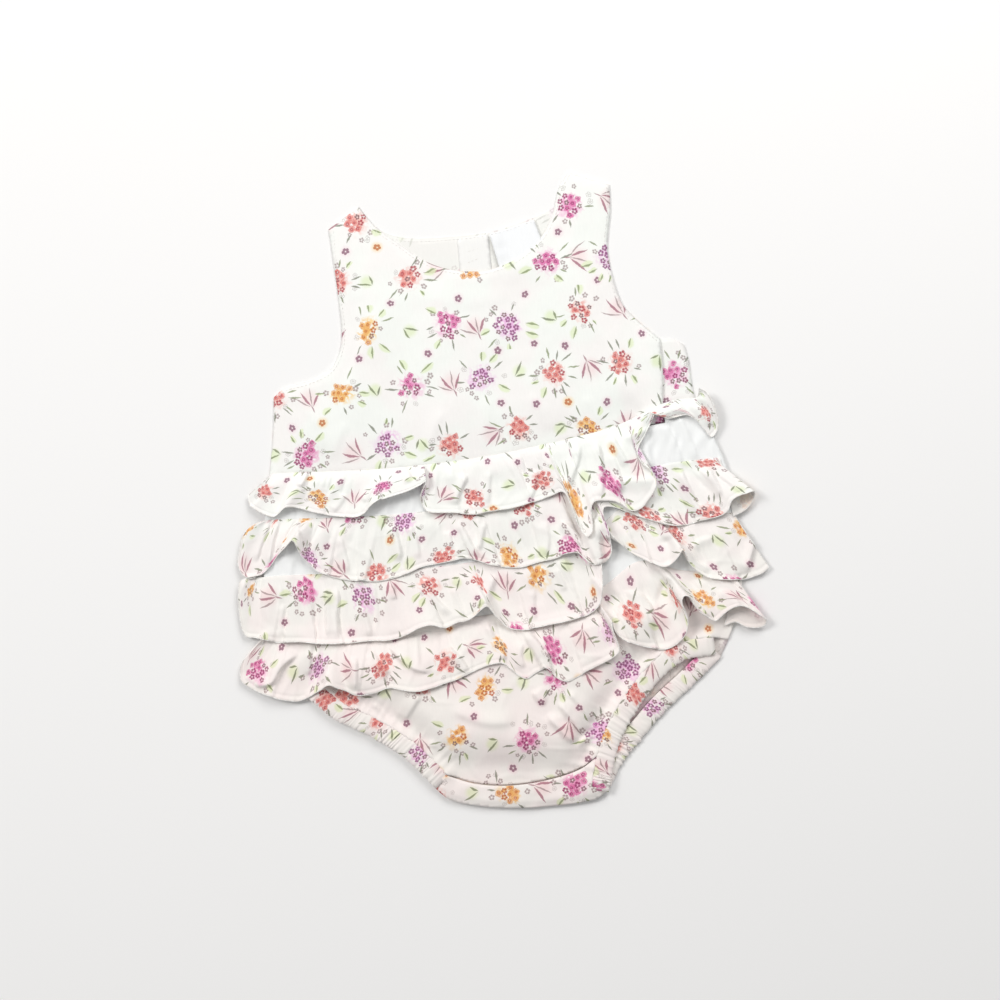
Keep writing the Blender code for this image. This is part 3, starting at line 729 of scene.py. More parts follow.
printRight = clothMaterial("printed cotton", clothTone["print"], 1.0)
printWrong = clothMaterial("printed cotton, wrong side", clothTone["wrong"], 0.30)
plainWhite = clothMaterial("plain white cotton", clothTone["white"], 0.0)
standCloth = clothMaterial("plain cotton of the stand", clothTone["stand"], 0.0)
labelCloth = clothMaterial("woven label", clothTone["label"], 0.0, 0.05, 0.5)


def threadMaterial(name, pale, dark):
    mat = bpy.data.materials.new(name)
    mat.use_nodes = True
    tree = mat.node_tree
    place = scaled(tree, tree.nodes.new("ShaderNodeTexCoord").outputs["Object"], perMetre)
    # Thread tone varies in flecks; the darker flecks are also painted shade, standing for the dark line along
    # each rolled hem.
    fleckAndHemShade = between(tree, cloudy(tree, place, 0.55)["Fac"], 0.42, 0.62)
    tree.links.new(inked(tree, dark, fleckAndHemShade, pale), tree.nodes["Principled BSDF"].inputs["Base Color"])
    tree.nodes["Principled BSDF"].inputs["Roughness"].default_value = 0.85
    return mat


# the darker tone is partly uneven thread and partly painted shade for the line under the rolled hems
threadWhite = threadMaterial("white thread", tint(249, 248, 245), tint(228, 224, 219))


# Leg bindings first, as the panels are gathered onto them.
legBands = {
    "leg_band_back_left": (1.0, 61),
    "leg_band_back_right": (1.3, 62),
    "leg_band_front_left": (3.8, 63),
    "leg_band_front_right": (4.6, 64),
    "pitch": 2.4,
    "rise": 2.1,
    "pucker": 0.46,
    "tuckedIn": 2.5,
    "nearCrotch": (0, -60),
    "points": 300,
    "taper": 6,
    "printAhead": 1.35,
    "crest": 0.88,
}
# Each binding's section, from its inner edge over the top and back below.
# Its rows are a share of the width and a share of the rise.
bandSection = [
    (-0.06, 0.8), (0.03, 0.93), (0.14, 1.0), (0.3, 1.04), (0.5, 1.02), (0.68, 0.95), (0.82, 0.8),
    (0.92, 0.58),
    (0.985, 0.25), (1.0, -0.05), (0.97, -0.2), (0.85, -0.28), (0.5, -0.3), (0.1, -0.3), (-0.06, -0.25),
]


def bandLine(node):
    ring = cadOutline(node)
    ahead = np.roll(ring, -1, axis=0) - ring
    turn = np.degrees(np.arctan2(ahead[:, 1], ahead[:, 0]))
    turn = np.abs((turn - np.roll(turn, 1) + 180) % 360 - 180)
    corners = sorted(np.argsort(turn)[-4:])
    sides = []
    for a, b in zip(corners, corners[1:] + [corners[0] + len(ring)]):
        sides.append(ring[np.arange(a, b + 1) % len(ring)])
    sides.sort(key=lambda side: -runOf(side)[-1])
    count, near = legBands["points"], legBands["nearCrotch"]
    first, second = [evenly(smoothCurve(side, 1.0), count) for side in (sides[0], sides[1][::-1])]
    inFirst = np.hypot(*(first[count // 2] - near)) < np.hypot(*(second[count // 2] - near))
    return (first, second) if inFirst else (second, first)  # the inner edge, then the outer


def puckers(s, seed):
    wave = np.sin(2 * math.pi * (s / legBands["pitch"] + 1.6 * ripple(s / 6, seed)))
    return (0.4 + 0.6 * ripple(s / 4, seed + 1)) * wave + 0.8 * ripple(s / 1.6, seed + 2)


def longer(line, by):
    first, last = line[0] - line[4], line[-1] - line[-5]
    return np.vstack([line[0] + first / np.hypot(*first) * by, line, line[-1] + last / np.hypot(*last) * by])


def makeBand(node):
    low, seed = legBands[node]
    inner, outer = [longer(line, legBands["tuckedIn"]) for line in bandLine(node)]
    count = len(inner)
    s = runOf(0.5 * (inner + outer))
    taper = 0.3 + 0.7 * eased(np.minimum(s, s[-1] - s) / legBands["taper"])
    pucker = puckers(s, seed)
    rows = []
    uvs = []
    for k, (across, up) in enumerate(bandSection):
        over = across + (0.045 * pucker if 0.6 < across else 0)
        p = inner + (outer - inner) * np.broadcast_to(over, count)[:, None]
        lift = legBands["pucker"] * pucker * max(up, 0) * (0.6 + 0.5 * ripple(s / 3 + k * 0.37, seed + 3))
        rows.append(np.column_stack([p, low + taper * (legBands["rise"] * up + lift)]))
        cutAcross = np.full(count, 10 * across - 4 * min(up, 0))
        uvs.append(np.column_stack([s * legBands["printAhead"] + 40 * seed, cutAcross]))
    around = len(bandSection)
    faces = []
    for k in range(around):
        here, there = k * count, (k + 1) % around * count
        faces += [(here + i, here + i + 1, there + i + 1, there + i) for i in range(count - 1)]
    faces += [[k * count for k in range(around)], [k * count + count - 1 for k in range(around)][::-1]]
    obj = addPiece(node + "_cloth", np.concatenate(rows), faces, np.concatenate(uvs), [printRight])
    bm = bmesh.new()
    bm.from_mesh(obj.data)
    bmesh.ops.recalc_face_normals(bm, faces=bm.faces)
    bm.to_mesh(obj.data)
    bm.free()
    return obj


bands = {node: makeBand(node) for node in legBands if node.startswith("leg")}
print("leg bindings made")


# Panels.
def makePanel(name, node, step, materials, shape, uvShift, thick=None):
    ring = rounded(cadOutline(node), step)
    flat, faces = filled(ring, step)
    x, y = flat.T
    z = shape(x, y, fromEdge(x, y, ring))
    obj = addPiece(name, np.column_stack([x, y, z]), faces, np.column_stack([x, y]) + uvShift, materials)
    return thicken(obj, cloth["thick"] if thick is None else thick, wrongSide=len(materials) > 1)


gatheredOn = {"joined": 5, "reach": 11, "rise": 0.8, "stretch": 1.5}


def ontoBands(x, y, z, nodes):
    for node in nodes:
        low, seed = legBands[node]
        away, arc, _ = nearLine(x, y, bandLine(node)[0])
        top = low + legBands["crest"] * legBands["rise"]
        near = np.exp(-(away / gatheredOn["joined"]) ** 2)
        z = z * (1 - near) + top * near
        fade = np.exp(-(away / gatheredOn["reach"]) ** 1.5) * (1 - 0.6 * near)
        z = z + gatheredOn["rise"] * puckers(arc / gatheredOn["stretch"], seed) * fade
    return z


backing = {
    "height": 0.5,
    "rise": 0.1,
    "size": 14,
    "seed": 3,
    "printShift": (935, 361.5),
    "turnedFrom": (100, 44),
}


def backShape(x, y, edge):
    return backing["height"] + backing["rise"] * rumple(x, y, backing["size"], backing["seed"])


back = makePanel("back_cloth", "back", 3.0, [printWrong, printRight], backShape, backing["printShift"])
sideTurned = (backing["turnedFrom"] - middle) * mm  # the back's side comes round to the front here
for polygon in back.data.polygons:
    if polygon.normal.z > 0 and polygon.center.x > sideTurned[0] and polygon.center.y > sideTurned[1]:
        polygon.material_index = 1
print("back made")

bodice = {
    "sunk": 1.0,
    "edgeDrop": 0.7,
    "turnedEdge": 0.2,
    "rumples": ((0.34, 17, 11), (0.1, 6, 12)),  # rise, size and seed
    "folds": [
        (0.7, 5, 3, [(-124, 78), (-112, 64), (-102, 50)]),
        (0.6, 6, 4, [(-60, 122), (-74, 96), (-88, 66)]),
        (0.7, 6, 4, [(66, 128), (78, 92), (88, 62)]),
        (0.7, 5, 2.5, [(-40, 28), (-34, 42), (-26, 56)]),
        (0.7, 5, 2.5, [(40, 34), (36, 48), (28, 62)]),
        (0.8, 4, 2, [(98, 42), (92, 54), (84, 66)]),
        (0.6, 4, 2.5, [(-98, 30), (-94, 42), (-86, 54)]),
        (0.5, 5, 3, [(-4, 26), (0, 44), (2, 62)]),
        (0.6, 4, 2, [(70, 36), (68, 46), (62, 56)]),
        (0.5, 7, 5, [(-36, 128), (0, 120), (34, 128)]),
    ],
}


def bodiceShape(x, y, edge):
    z = cadForm("front_bodice", x, y) - bodice["sunk"]
    z -= bodice["edgeDrop"] * (1 - eased(edge / 5))
    z += bodice["turnedEdge"] * np.exp(-((edge - 1.4) / 1.1) ** 2)
    relief = folded(x, y, bodice["folds"])
    for rise, size, seed in bodice["rumples"]:
        relief = relief + rise * rumple(x, y, size, seed)
    return z + eased(edge / 7) * relief


bothSides = [printRight, printWrong]
front = makePanel("front_bodice_cloth", "front_bodice", 2.0, bothSides, bodiceShape, (0, 0))
print("bodice made")

underFront = {
    "height": 3.0,
    "folds": [
        (1.9, 6, 0.9, [(119, 2), (116, 18), (112, 30), (108, 42)]),
        (1.7, 5, 0.9, [(129, 6), (126, 18), (122, 30), (117, 42)]),
        (1.6, 5, 1.6, [(100, 4), (98, 18), (94, 34)]),
        (1.0, 3, 0.9, [(-68, -12), (-66, 0), (-62, 10)]),
        (0.8, 3, 1.2, [(-133, -50), (-131, -38), (-127, -26)]),
    ],
}


def underFrontShape(x, y, edge):
    wave = np.sin((x + 4 * ripple(y / 14, 5)) / 1.3 + 3 * ripple(x / 8, 6))
    fine = wave * (0.5 + 0.5 * ripple(x / 5 + y / 30, 7))
    return underFront["height"] + eased(edge / 4) * (0.5 * fine + folded(x, y, underFront["folds"]))


base = makePanel("front_under_ruffles_cloth", "front_base", 1.5, [plainWhite] * 2, underFrontShape, (0, 0))

bloomer = {
    "sunk": 0.9,
    "belly": [(-76, -152), (-55, -154), (-33, -157), (-11, -159), (13, -162), (35, -163), (52, -158)],
    "bellyDrop": 2.5,
    "bellyWide": (24, 9.5),  # above its line and below it
    "foldShare": 1.25,
    "wrinkles": (16, 24, 0.35),  # size, seed and rise
    "rumple": (0.6, 13, 21),
    "folds": [
        (2.2, 4, 1.0, [(-83, -143), (-94, -132), (-104, -120)]),
        (2.1, 4, 1.0, [(-81, -142), (-87, -132), (-95, -122)]),
        (2.0, 4, 1.2, [(-79, -140), (-83, -130), (-88, -121)]),
        (1.8, 6, 1.4, [(-70, -136), (-64, -128), (-57, -119)]),
        (2.0, 4, 1.2, [(19, -139), (27, -150), (35, -160)]),
        (2.0, 4, 1.2, [(26, -132), (34, -143), (41, -155)]),
        (1.7, 4, 1.5, [(33, -126), (41, -136), (47, -148)]),
        (1.8, 5, 1.0, [(12, -124), (16, -131), (20, -133)]),
        (2.1, 4, 1.0, [(56, -154), (48, -155), (42, -157), (36, -162)]),
        (1.7, 3, 1.2, [(-74, -151), (-61, -153), (-49, -152)]),
        (1.7, 4, 1.5, [(76, -137), (66, -143), (59, -150)]),
        (1.5, 4, 1.5, [(92, -121), (80, -123), (68, -130)]),
        (1.4, 6, 3, [(-40, -130), (-20, -140), (2, -142)]),
    ],
}


def bloomerShape(x, y, edge):
    z = cadForm("bloomer_front", x, y, 5.0) - bloomer["sunk"]
    line = smoothCurve(bloomer["belly"], 2.0)
    away, arc, side = nearLine(x, y, line)
    fade = eased(np.minimum(arc, runOf(line)[-1] - arc) / 26)
    above, below = bloomer["bellyWide"]
    full = np.where(side > 0, np.exp(-(away / above) ** 2), np.exp(-(away / below) ** 2))
    z += bloomer["bellyDrop"] * fade * full
    rise, size, seed = bloomer["rumple"]
    relief = bloomer["foldShare"] * folded(x, y, bloomer["folds"]) + wrinkled(x, y, *bloomer["wrinkles"])
    z += eased(edge / 8) * (relief + rise * rumple(x, y, size, seed))
    return ontoBands(x, y, z, ("leg_band_front_left", "leg_band_front_right"))


def crotchShape(x, y, edge):
    fromSeam = fromEdge(x, y, smoothCurve(cadOutline("bloomer_front"), 1.0))
    z = 4.2 - 1.6 * (1 - eased(edge / 5)) * eased((fromSeam - 3) / 4) - 0.5 * np.exp(-fromSeam / 1.5)
    z += 0.4 * rumple(x, y, 6, 31)
    return ontoBands(x, y, z, ("leg_band_front_left", "leg_band_front_right"))


def placketShape(x, y, edge):
    return 1.1 - 0.3 * (1 - eased(edge / 2))


def labelShape(x, y, edge):
    return cadForm("neck_label", x, y, 2.0) - 0.2


bloomers = makePanel("bloomer_front_cloth", "bloomer_front", 1.25, bothSides, bloomerShape, (37, -61))
crotch = makePanel("crotch_band_cloth", "crotch_band", 1.5, bothSides, crotchShape, (55, 185))
placket = makePanel("back_placket_cloth", "back_placket", 2.0, [standCloth], placketShape, (0, 0), thick=0.5)
label = makePanel("neck_label_cloth", "neck_label", 1.5, [labelCloth], labelShape, (0, 0), thick=0.3)
print("bloomer, crotch, placket and label made")

# Ruffles, each laid over what is under it.
ruffle = {
    "firstSeam": [(-139, 26), (-60, 22), (0, 24), (60, 31), (108, 37), (140, 38)],
    "drops": (0, 29, 64, 98),
    "ends": [(-136.2, 131.6), (-142.5, 142.0), (-159.0, 146.8), (-149.5, 147.7)],
    "lifts": ((122, 30, 10), (0, 1, 0), (80, 17, 14), (86, 19, 13)),
    "depth": 40.0,
    "fullness": 1.18,
    "step": 0.85,
    "rows": 50,
    "fall": 0.5,
    "acrossShare": 0.65,
    "hump": 0.4,
    "sunk": 0.4,
    "hemLift": 0.3,
    "turning": 0.2,
    "settled": 2.9,
    "creased": 1.6,
    "groove": 0.38,
    "seamHeight": 2.6,
    "drape": 1.4,
    "humpWithin": 12,
    "broad": (11.0, (0.5, 1.3), 1.3),  # gathers: pitch, where they fade from seam to hem, and rise
    "narrow": (3.6, (0.25, 0.8), 0.8),
    "bareFloor": 0.6,
    "sewnIn": (0.4, 0.2, 0.05),
    "printShift": (11, 60),
    "printStep": (130, 83),
}
# Each ruffle's free edge from its left end: x, y and height.
hems = [
    [(-153, 13, 2.5), (-152, 7, 3), (-148, 3, 3.5), (-143, 0, 4), (-138, -2, 5), (-134, 0, 7), (-130, 3, 8),
     (-125, 3, 7), (-119, 1, 6), (-111, -2, 5.5), (-103, -4, 5.5), (-94, -6, 5.5), (-87, -7, 6),
     (-81, -5, 7.5), (-77, -1, 9.5), (-70, 3, 10.5), (-62, 5, 11), (-53, 7, 11), (-45, 10, 11.5),
     (-41, 12, 11), (-43, 8, 9.5), (-46, 2, 8), (-45, -3, 6.5), (-41, -8, 6), (-35, -9, 5.5),
     (-25, -10, 5.5),
     (-13, -12, 5.5), (-4, -11, 5.5), (6, -11, 6), (15, -10, 6), (27, -7, 6.5), (36, -5, 7), (42, -3, 8),
     (45, -6, 9), (47, -14, 9.5), (49, -22, 9.5), (52, -29, 9), (55, -33, 9), (58, -30, 9.5), (59, -22, 10),
     (59, -15, 9.5), (62, -11, 9), (68, -11, 8.5), (74, -12, 8), (79, -15, 8), (84, -19, 8), (90, -18, 8.5),
     (95, -13, 9), (99, -8, 9.5), (101, -2, 9.5), (99, 4, 9.5), (94, 9, 8.5), (91, 15, 8), (92, 20, 8),
     (96, 26, 7.5), (101, 34, 6.5), (106, 41, 6), (110, 36.5, 6), (114, 35.5, 6), (119, 36.5, 6),
     (124, 37, 7),
     (129, 34, 6.5), (132, 31, 6), (135, 26, 5), (138, 22, 4.5), (142, 26, 5.5), (143, 32, 7), (141, 42, 8),
     (137, 50, 8.5), (133, 53, 8.5)],
    [(-148, -4, 3), (-154, -7, 3.5), (-159, -13, 3.5),
     (-161, -20, 3), (-163, -27, 3), (-162, -33, 3), (-159, -37, 3), (-153, -37, 3.5), (-148, -36, 4),
     (-143, -32, 5), (-138, -26, 7),
     (-132, -21, 9.5), (-127, -17, 10.5), (-125, -21, 9.5), (-123, -27, 7.5), (-119, -32, 6.5),
     (-114, -38, 6),
     (-107, -41, 5.5), (-98, -44, 5.5), (-87, -46, 5.5), (-76, -47, 5.5), (-67, -46, 6), (-58, -44, 6),
     (-49, -41, 6.5), (-39, -40, 7), (-30, -39, 7.5), (-22, -38, 7.5), (-14, -41, 7), (-7, -44, 6),
     (2, -46, 6), (13, -47, 6), (23, -45, 6.5), (33, -44, 7), (41, -42, 7.5), (48, -42, 8.5),
     (51, -45, 8.5),
     (55, -49, 8), (60, -50, 7), (65, -49, 7), (69, -44, 8), (69, -36, 9), (68, -27, 9), (66, -19, 9),
     (67, -15, 8.5), (72, -15, 8), (81, -19, 7.5), (89, -23, 7), (98, -27, 6.5), (106, -30, 6),
     (114, -31, 6),
     (121, -30, 6.5), (129, -29, 7), (136, -28, 7), (141, -26.5, 7.5), (144, -24, 8.5), (146, -19, 9.5),
     (151, -16, 10), (156, -15, 10), (160.5, -14, 9.5), (161, -17, 6), (158.5, -22, 4.5), (153, -26, 4),
     (147, -28, 4)],
    [(-153, -38, 3), (-159, -38, 3.5), (-163, -40, 3.5),
     (-164, -46, 3), (-165, -53, 3), (-164, -70, 3), (-162, -74, 2.5), (-157, -75, 3.5), (-148, -78, 4.5),
     (-139, -80, 5), (-128, -81, 5.5),
     (-117, -83, 5.5), (-105, -84, 5.5), (-95, -84, 6), (-85, -84, 6), (-75, -85, 6), (-67, -84, 6.5),
     (-61, -82, 7.5), (-54, -79, 8.5), (-46, -78, 9.5), (-40, -80, 9), (-35, -79, 8.5), (-30, -77, 8.5),
     (-25, -77, 8.5), (-20, -75, 9.5), (-15, -71, 11), (-11, -69, 12.5), (-8, -73, 10.5), (-4, -79, 8),
     (1, -84, 6.5), (8, -86, 6), (17, -86, 6), (27, -85, 6.5), (36, -84, 7), (46, -82, 7.5), (54, -79, 8.5),
     (59, -74, 9.5), (61, -66, 10), (62, -57, 9.5), (62, -48, 9), (61, -38, 9), (62, -29, 9), (64, -21, 9),
     (66, -25, 9.5), (70, -33, 9.5), (75, -39, 8.5), (82, -45, 7.5), (90, -50, 7.5), (96, -54, 8),
     (101, -56, 9), (106, -54, 11), (110, -50, 12.5), (113, -46, 12.5), (115, -50, 10.5), (117, -56, 8),
     (122, -61, 6.5), (128, -65, 6), (136, -67, 6), (146, -68, 5.5), (155, -67, 5), (162, -65, 4),
     (166, -62, 3)],
    [(-153, -80, 3), (-159, -82, 3.5), (-163, -86, 3.5),
     (-167, -91, 3), (-168, -101, 2.5), (-164, -105, 2.5), (-158, -109, 2.5), (-150, -113, 3.5),
     (-141, -116, 4.5),
     (-134, -117, 5), (-127, -115, 6.5), (-121, -112, 8.5), (-113, -109, 11), (-109, -111, 9.5),
     (-103, -114, 7), (-98, -117, 6), (-92, -117, 6), (-84, -116, 7.5), (-77, -114, 8), (-69, -116, 6.5),
     (-60, -118, 6), (-51, -117, 6), (-43, -115, 6.5), (-35, -113, 7), (-27, -110, 7.5), (-19, -107, 8.5),
     (-11, -105, 9.5), (-5, -105, 9.5), (0, -109, 7.5), (5, -114, 6.5), (9, -116, 6.5), (15, -113, 8.5),
     (21, -111, 10.5), (25, -114, 8.5), (29, -118, 6.5), (34, -120, 6.5), (40, -118, 7), (48, -115, 8),
     (56, -112, 9), (63, -109, 9.5), (68, -105, 10), (67, -98, 11), (65, -91, 12), (65, -85, 12.5),
     (66, -91, 10.5), (70, -97, 9), (76, -101, 8), (83, -104, 7.5), (91, -106, 7.5), (99, -106, 8),
     (105, -103, 9), (110, -98, 10), (112, -91, 11.5), (111, -84, 13), (109, -78, 14.5), (111, -74, 14.5),
     (115, -76, 13), (117, -81, 11), (121, -87, 9), (125, -90, 7.5), (128.5, -92.5, 7), (131.5, -91, 7.5),
     (135, -88, 8.5), (140, -85, 9.5), (146, -84, 9.5), (152, -87, 9), (157, -91, 8.5), (161, -94.5, 7.5),
     (159.5, -98, 4.5), (155, -98.7, 3.8), (148, -97.5, 3.8), (142, -94, 3.8), (135, -95.5, 3.8)],
]
# Folds of each ruffle, as in folded().
ruffleFolds = [
    [
        (1.6, 5, 0.8, [(-24, -6), (-23, 0), (-19, 7), (-15, 14)]),
        (0.9, 3.5, 0.97, [(-4, -7), (-3, 4), (-1, 15)]),
        (0.9, 4, 1.15, [(-101, -2), (-96, 3), (-92, 9)]),
        (0.9, 3, 0.97, [(-81, 2), (-78, 6), (-75, 11)]),
        (1.4, 4, 0.8, [(45, -3), (49, 5), (54, 16), (56, 26)]),
        (1.6, 4, 0.8, [(66, -10), (68, 2), (68, 16), (67, 28)]),
        (1.3, 4, 0.8, [(77, -10), (79, -2), (78, 7), (75, 20)]),
        (1.3, 4, 0.87, [(85, 9), (80, 20), (76, 30)]),
        (1.8, 5, 0.8, [(101, -2), (92, 0), (79, 0), (69, -2)]),
        (1.2, 3, 0.87, [(-120, 15), (-116, 21), (-114, 26)]),
        (1.1, 4, 0.87, [(22, -6), (26, 3), (28, 13)]),
        (1.0, 4, 0.87, [(-50, 11), (-52, 18), (-57, 25)]),
        (1.2, 4, 0.8, [(104, 31), (94, 30), (83, 26)]),
        (1.3, 4, 0.8, [(140, 28), (136, 36), (129, 42), (123, 46)]),
    ],
    [
        (1.6, 3, 0.8, [(-144, -32), (-141, -20), (-138, -11), (-134, -3)]),
        (1.3, 3, 0.8, [(-136, -24), (-133, -16), (-129, -9), (-124, -3)]),
        (1.2, 3, 0.8, [(-152, -29), (-148, -19), (-143, -9), (-139, -2)]),
        (1.4, 3, 0.8, [(-119, -31), (-122, -20), (-123, -11), (-121, -4)]),
        (1.6, 4.5, 0.8, [(-62, -37), (-62, -28), (-63, -20), (-64, -10)]),
        (1.3, 4, 0.8, [(-12, -38), (-17, -31), (-21, -21), (-24, -14)]),
        (1.3, 2.2, 1.22, [(-13, -35), (-10, -25), (-7, -16)]),
        (0.9, 3, 0.97, [(-30, -32), (-30, -26), (-30, -20)]),
        (1.6, 4, 0.8, [(132, -27), (128, -24), (124, -18), (121, -9), (118, 0), (117, 8)]),
        (1.0, 3.5, 0.97, [(-50, -37), (-51, -24), (-54, -13)]),
        (1.0, 4, 0.97, [(28, -42), (31, -32), (30, -19)]),
        (1.0, 4, 0.97, [(-94, -41), (-96, -29), (-98, -16)]),
        (1.2, 4, 0.87, [(51, -39), (51, -34), (46, -27), (39, -20)]),
        (1.3, 4, 0.8, [(141, -16), (139, -9), (136, -1), (135, 5)]),
    ],
    [
        (1.4, 3.5, 0.7, [(-110, -47), (-110, -56), (-111, -69), (-112, -81)]),
        (1.4, 3.5, 0.7, [(-105, -82), (-105, -69), (-103, -57), (-103, -47)]),
        (1.1, 3, 0.8, [(-67, -60), (-68, -54), (-67, -48)]),
        (1.4, 4, 0.8, [(-33, -72), (-40, -65), (-45, -57), (-49, -48)]),
        (1.0, 3, 0.97, [(-25, -76), (-28, -65), (-31, -54)]),
        (1.6, 4, 1.67, [(-11, -70), (-9, -61), (-4, -50)]),
        (0.9, 3, 0.87, [(39, -65), (37, -58), (34, -49)]),
        (1.6, 4, 0.8, [(69, -79), (68, -70), (71, -61), (70, -50), (65, -43), (61, -36)]),
        (1.1, 3, 0.8, [(65, -69), (60, -63), (55, -56)]),
        (1.2, 4, 0.8, [(133, -40), (126, -41), (118, -45)]),
        (1.3, 4, 0.77, [(131, -61), (127, -58), (122, -55), (118, -49), (115, -42)]),
        (2.0, 5, 0.8, [(152, -66), (154, -58), (157, -50), (159, -44), (157, -39), (151, -34)]),
        (1.0, 3.5, 0.87, [(-84, -82), (-86, -71), (-89, -61)]),
        (0.9, 4, 0.97, [(-138, -77), (-139, -66), (-136, -55)]),
        (1.0, 4, 0.87, [(18, -82), (18, -72), (19, -61)]),
        (-1.6, 4, 4.0, [(104, -56), (105, -45), (103, -36)]),
    ],
    [
        (2.2, 6, 0.8, [(-162, -104), (-156, -105), (-149, -104), (-143, -96), (-137, -91), (-130, -87)]),
        (1.0, 2.5, 0.8, [(-126, -102), (-124, -94), (-124, -86)]),
        (1.0, 2.5, 0.8, [(-120, -102), (-119, -94), (-119, -87)]),
        (1.1, 3, 0.8, [(-114, -108), (-114, -98), (-113, -90)]),
        (1.4, 4, 0.8, [(-97, -114), (-96, -103), (-95, -92)]),
        (1.3, 4, 0.77, [(-74, -105), (-81, -98), (-85, -89)]),
        (1.7, 6, 0.77, [(-75, -86), (-72, -91), (-65, -99), (-58, -104), (-49, -107)]),
        (1.6, 5, 0.8, [(-26, -110), (-29, -103), (-34, -96), (-38, -91)]),
        (-2.0, 3.5, 3.5, [(33, -110), (35, -98), (37, -85)]),
        (1.2, 4, 0.8, [(29, -105), (22, -100), (17, -93), (11, -87)]),
        (1.1, 3.5, 0.8, [(9, -110), (7, -102), (9, -93)]),
        (-2.2, 4, 4.0, [(101, -86), (100, -76), (101, -69), (104, -62)]),
        (1.5, 6, 0.8, [(92, -94), (91, -85), (89, -77), (85, -72), (72, -68)]),
        (1.2, 4, 0.8, [(-3, -104), (-4, -96), (-7, -89)]),
        (1.2, 4, 0.8, [(147, -85), (140, -77), (132, -73)]),
        (1.3, 3.5, 0.8, [(125, -89), (121, -83), (115, -78)]),
    ],
]


def seamAt(tier, x):
    curve = smoothCurve(ruffle["firstSeam"], 5.0)
    centre, width, rise = ruffle["lifts"][tier]
    y = np.interp(x, curve[:, 0], curve[:, 1]) - ruffle["drops"][tier]
    return y + rise * np.exp(-((x - centre) / width) ** 2)


def gathers(along, v, seed, kind):
    pitch, last, rise = kind
    luck = np.random.RandomState(seed)
    total = np.zeros(np.broadcast(along, v).shape)
    place = along.min() - pitch
    valleys = []
    while place < along.max() + 2 * pitch:
        lean, sway = luck.uniform(-0.7, 0.7) * pitch, luck.uniform(-0.3, 0.3) * pitch
        valleys.append((place, lean, sway, luck.uniform(0, 6)))
        place += pitch * luck.uniform(0.5, 1.6)
    for one, two in zip(valleys, valleys[1:]):
        edges = [a + lean * v + sway * np.sin(4 * v + phase) * v for a, lean, sway, phase in (one, two)]
        wide = np.maximum(edges[1] - edges[0], 0.4)
        u = np.clip((along - edges[0]) / wide, 0, 1)
        reach = luck.uniform(*last)
        height = rise * luck.uniform(0.4, 1.3) * eased((reach - v) / (0.6 * reach))
        height = height * (0.1 + 0.9 * eased(v / 0.35))
        skew = luck.uniform(0.6, 1.5)
        total += np.where((u > 0) & (u < 1), height * (1 - np.abs(2 * u ** skew - 1) ** 1.7), 0)
    return total


def facets(tier, along, v):
    luck = np.random.RandomState(60 + tier)
    total = np.zeros(np.broadcast(along, v).shape)  # strips between folds, each with a tilt of its own
    place = along.min() - 20
    level = (0.4, 0.8)
    while place < along.max() + 20:
        place += luck.uniform(5, 19)
        new = (luck.uniform(0.2, 1.2), luck.uniform(0.0, 3.2))
        lean = luck.uniform(-7, 7)
        ease = luck.choice((0.6, 0.8, 1.6))
        step = [b - a for a, b in zip(level, new)]
        over = eased((along + lean * v - place) / ease + 0.5)
        total += over * (step[0] * (1 - v) * eased(v / 0.3) + step[1] * v ** 1.3)
        level = new
    return total


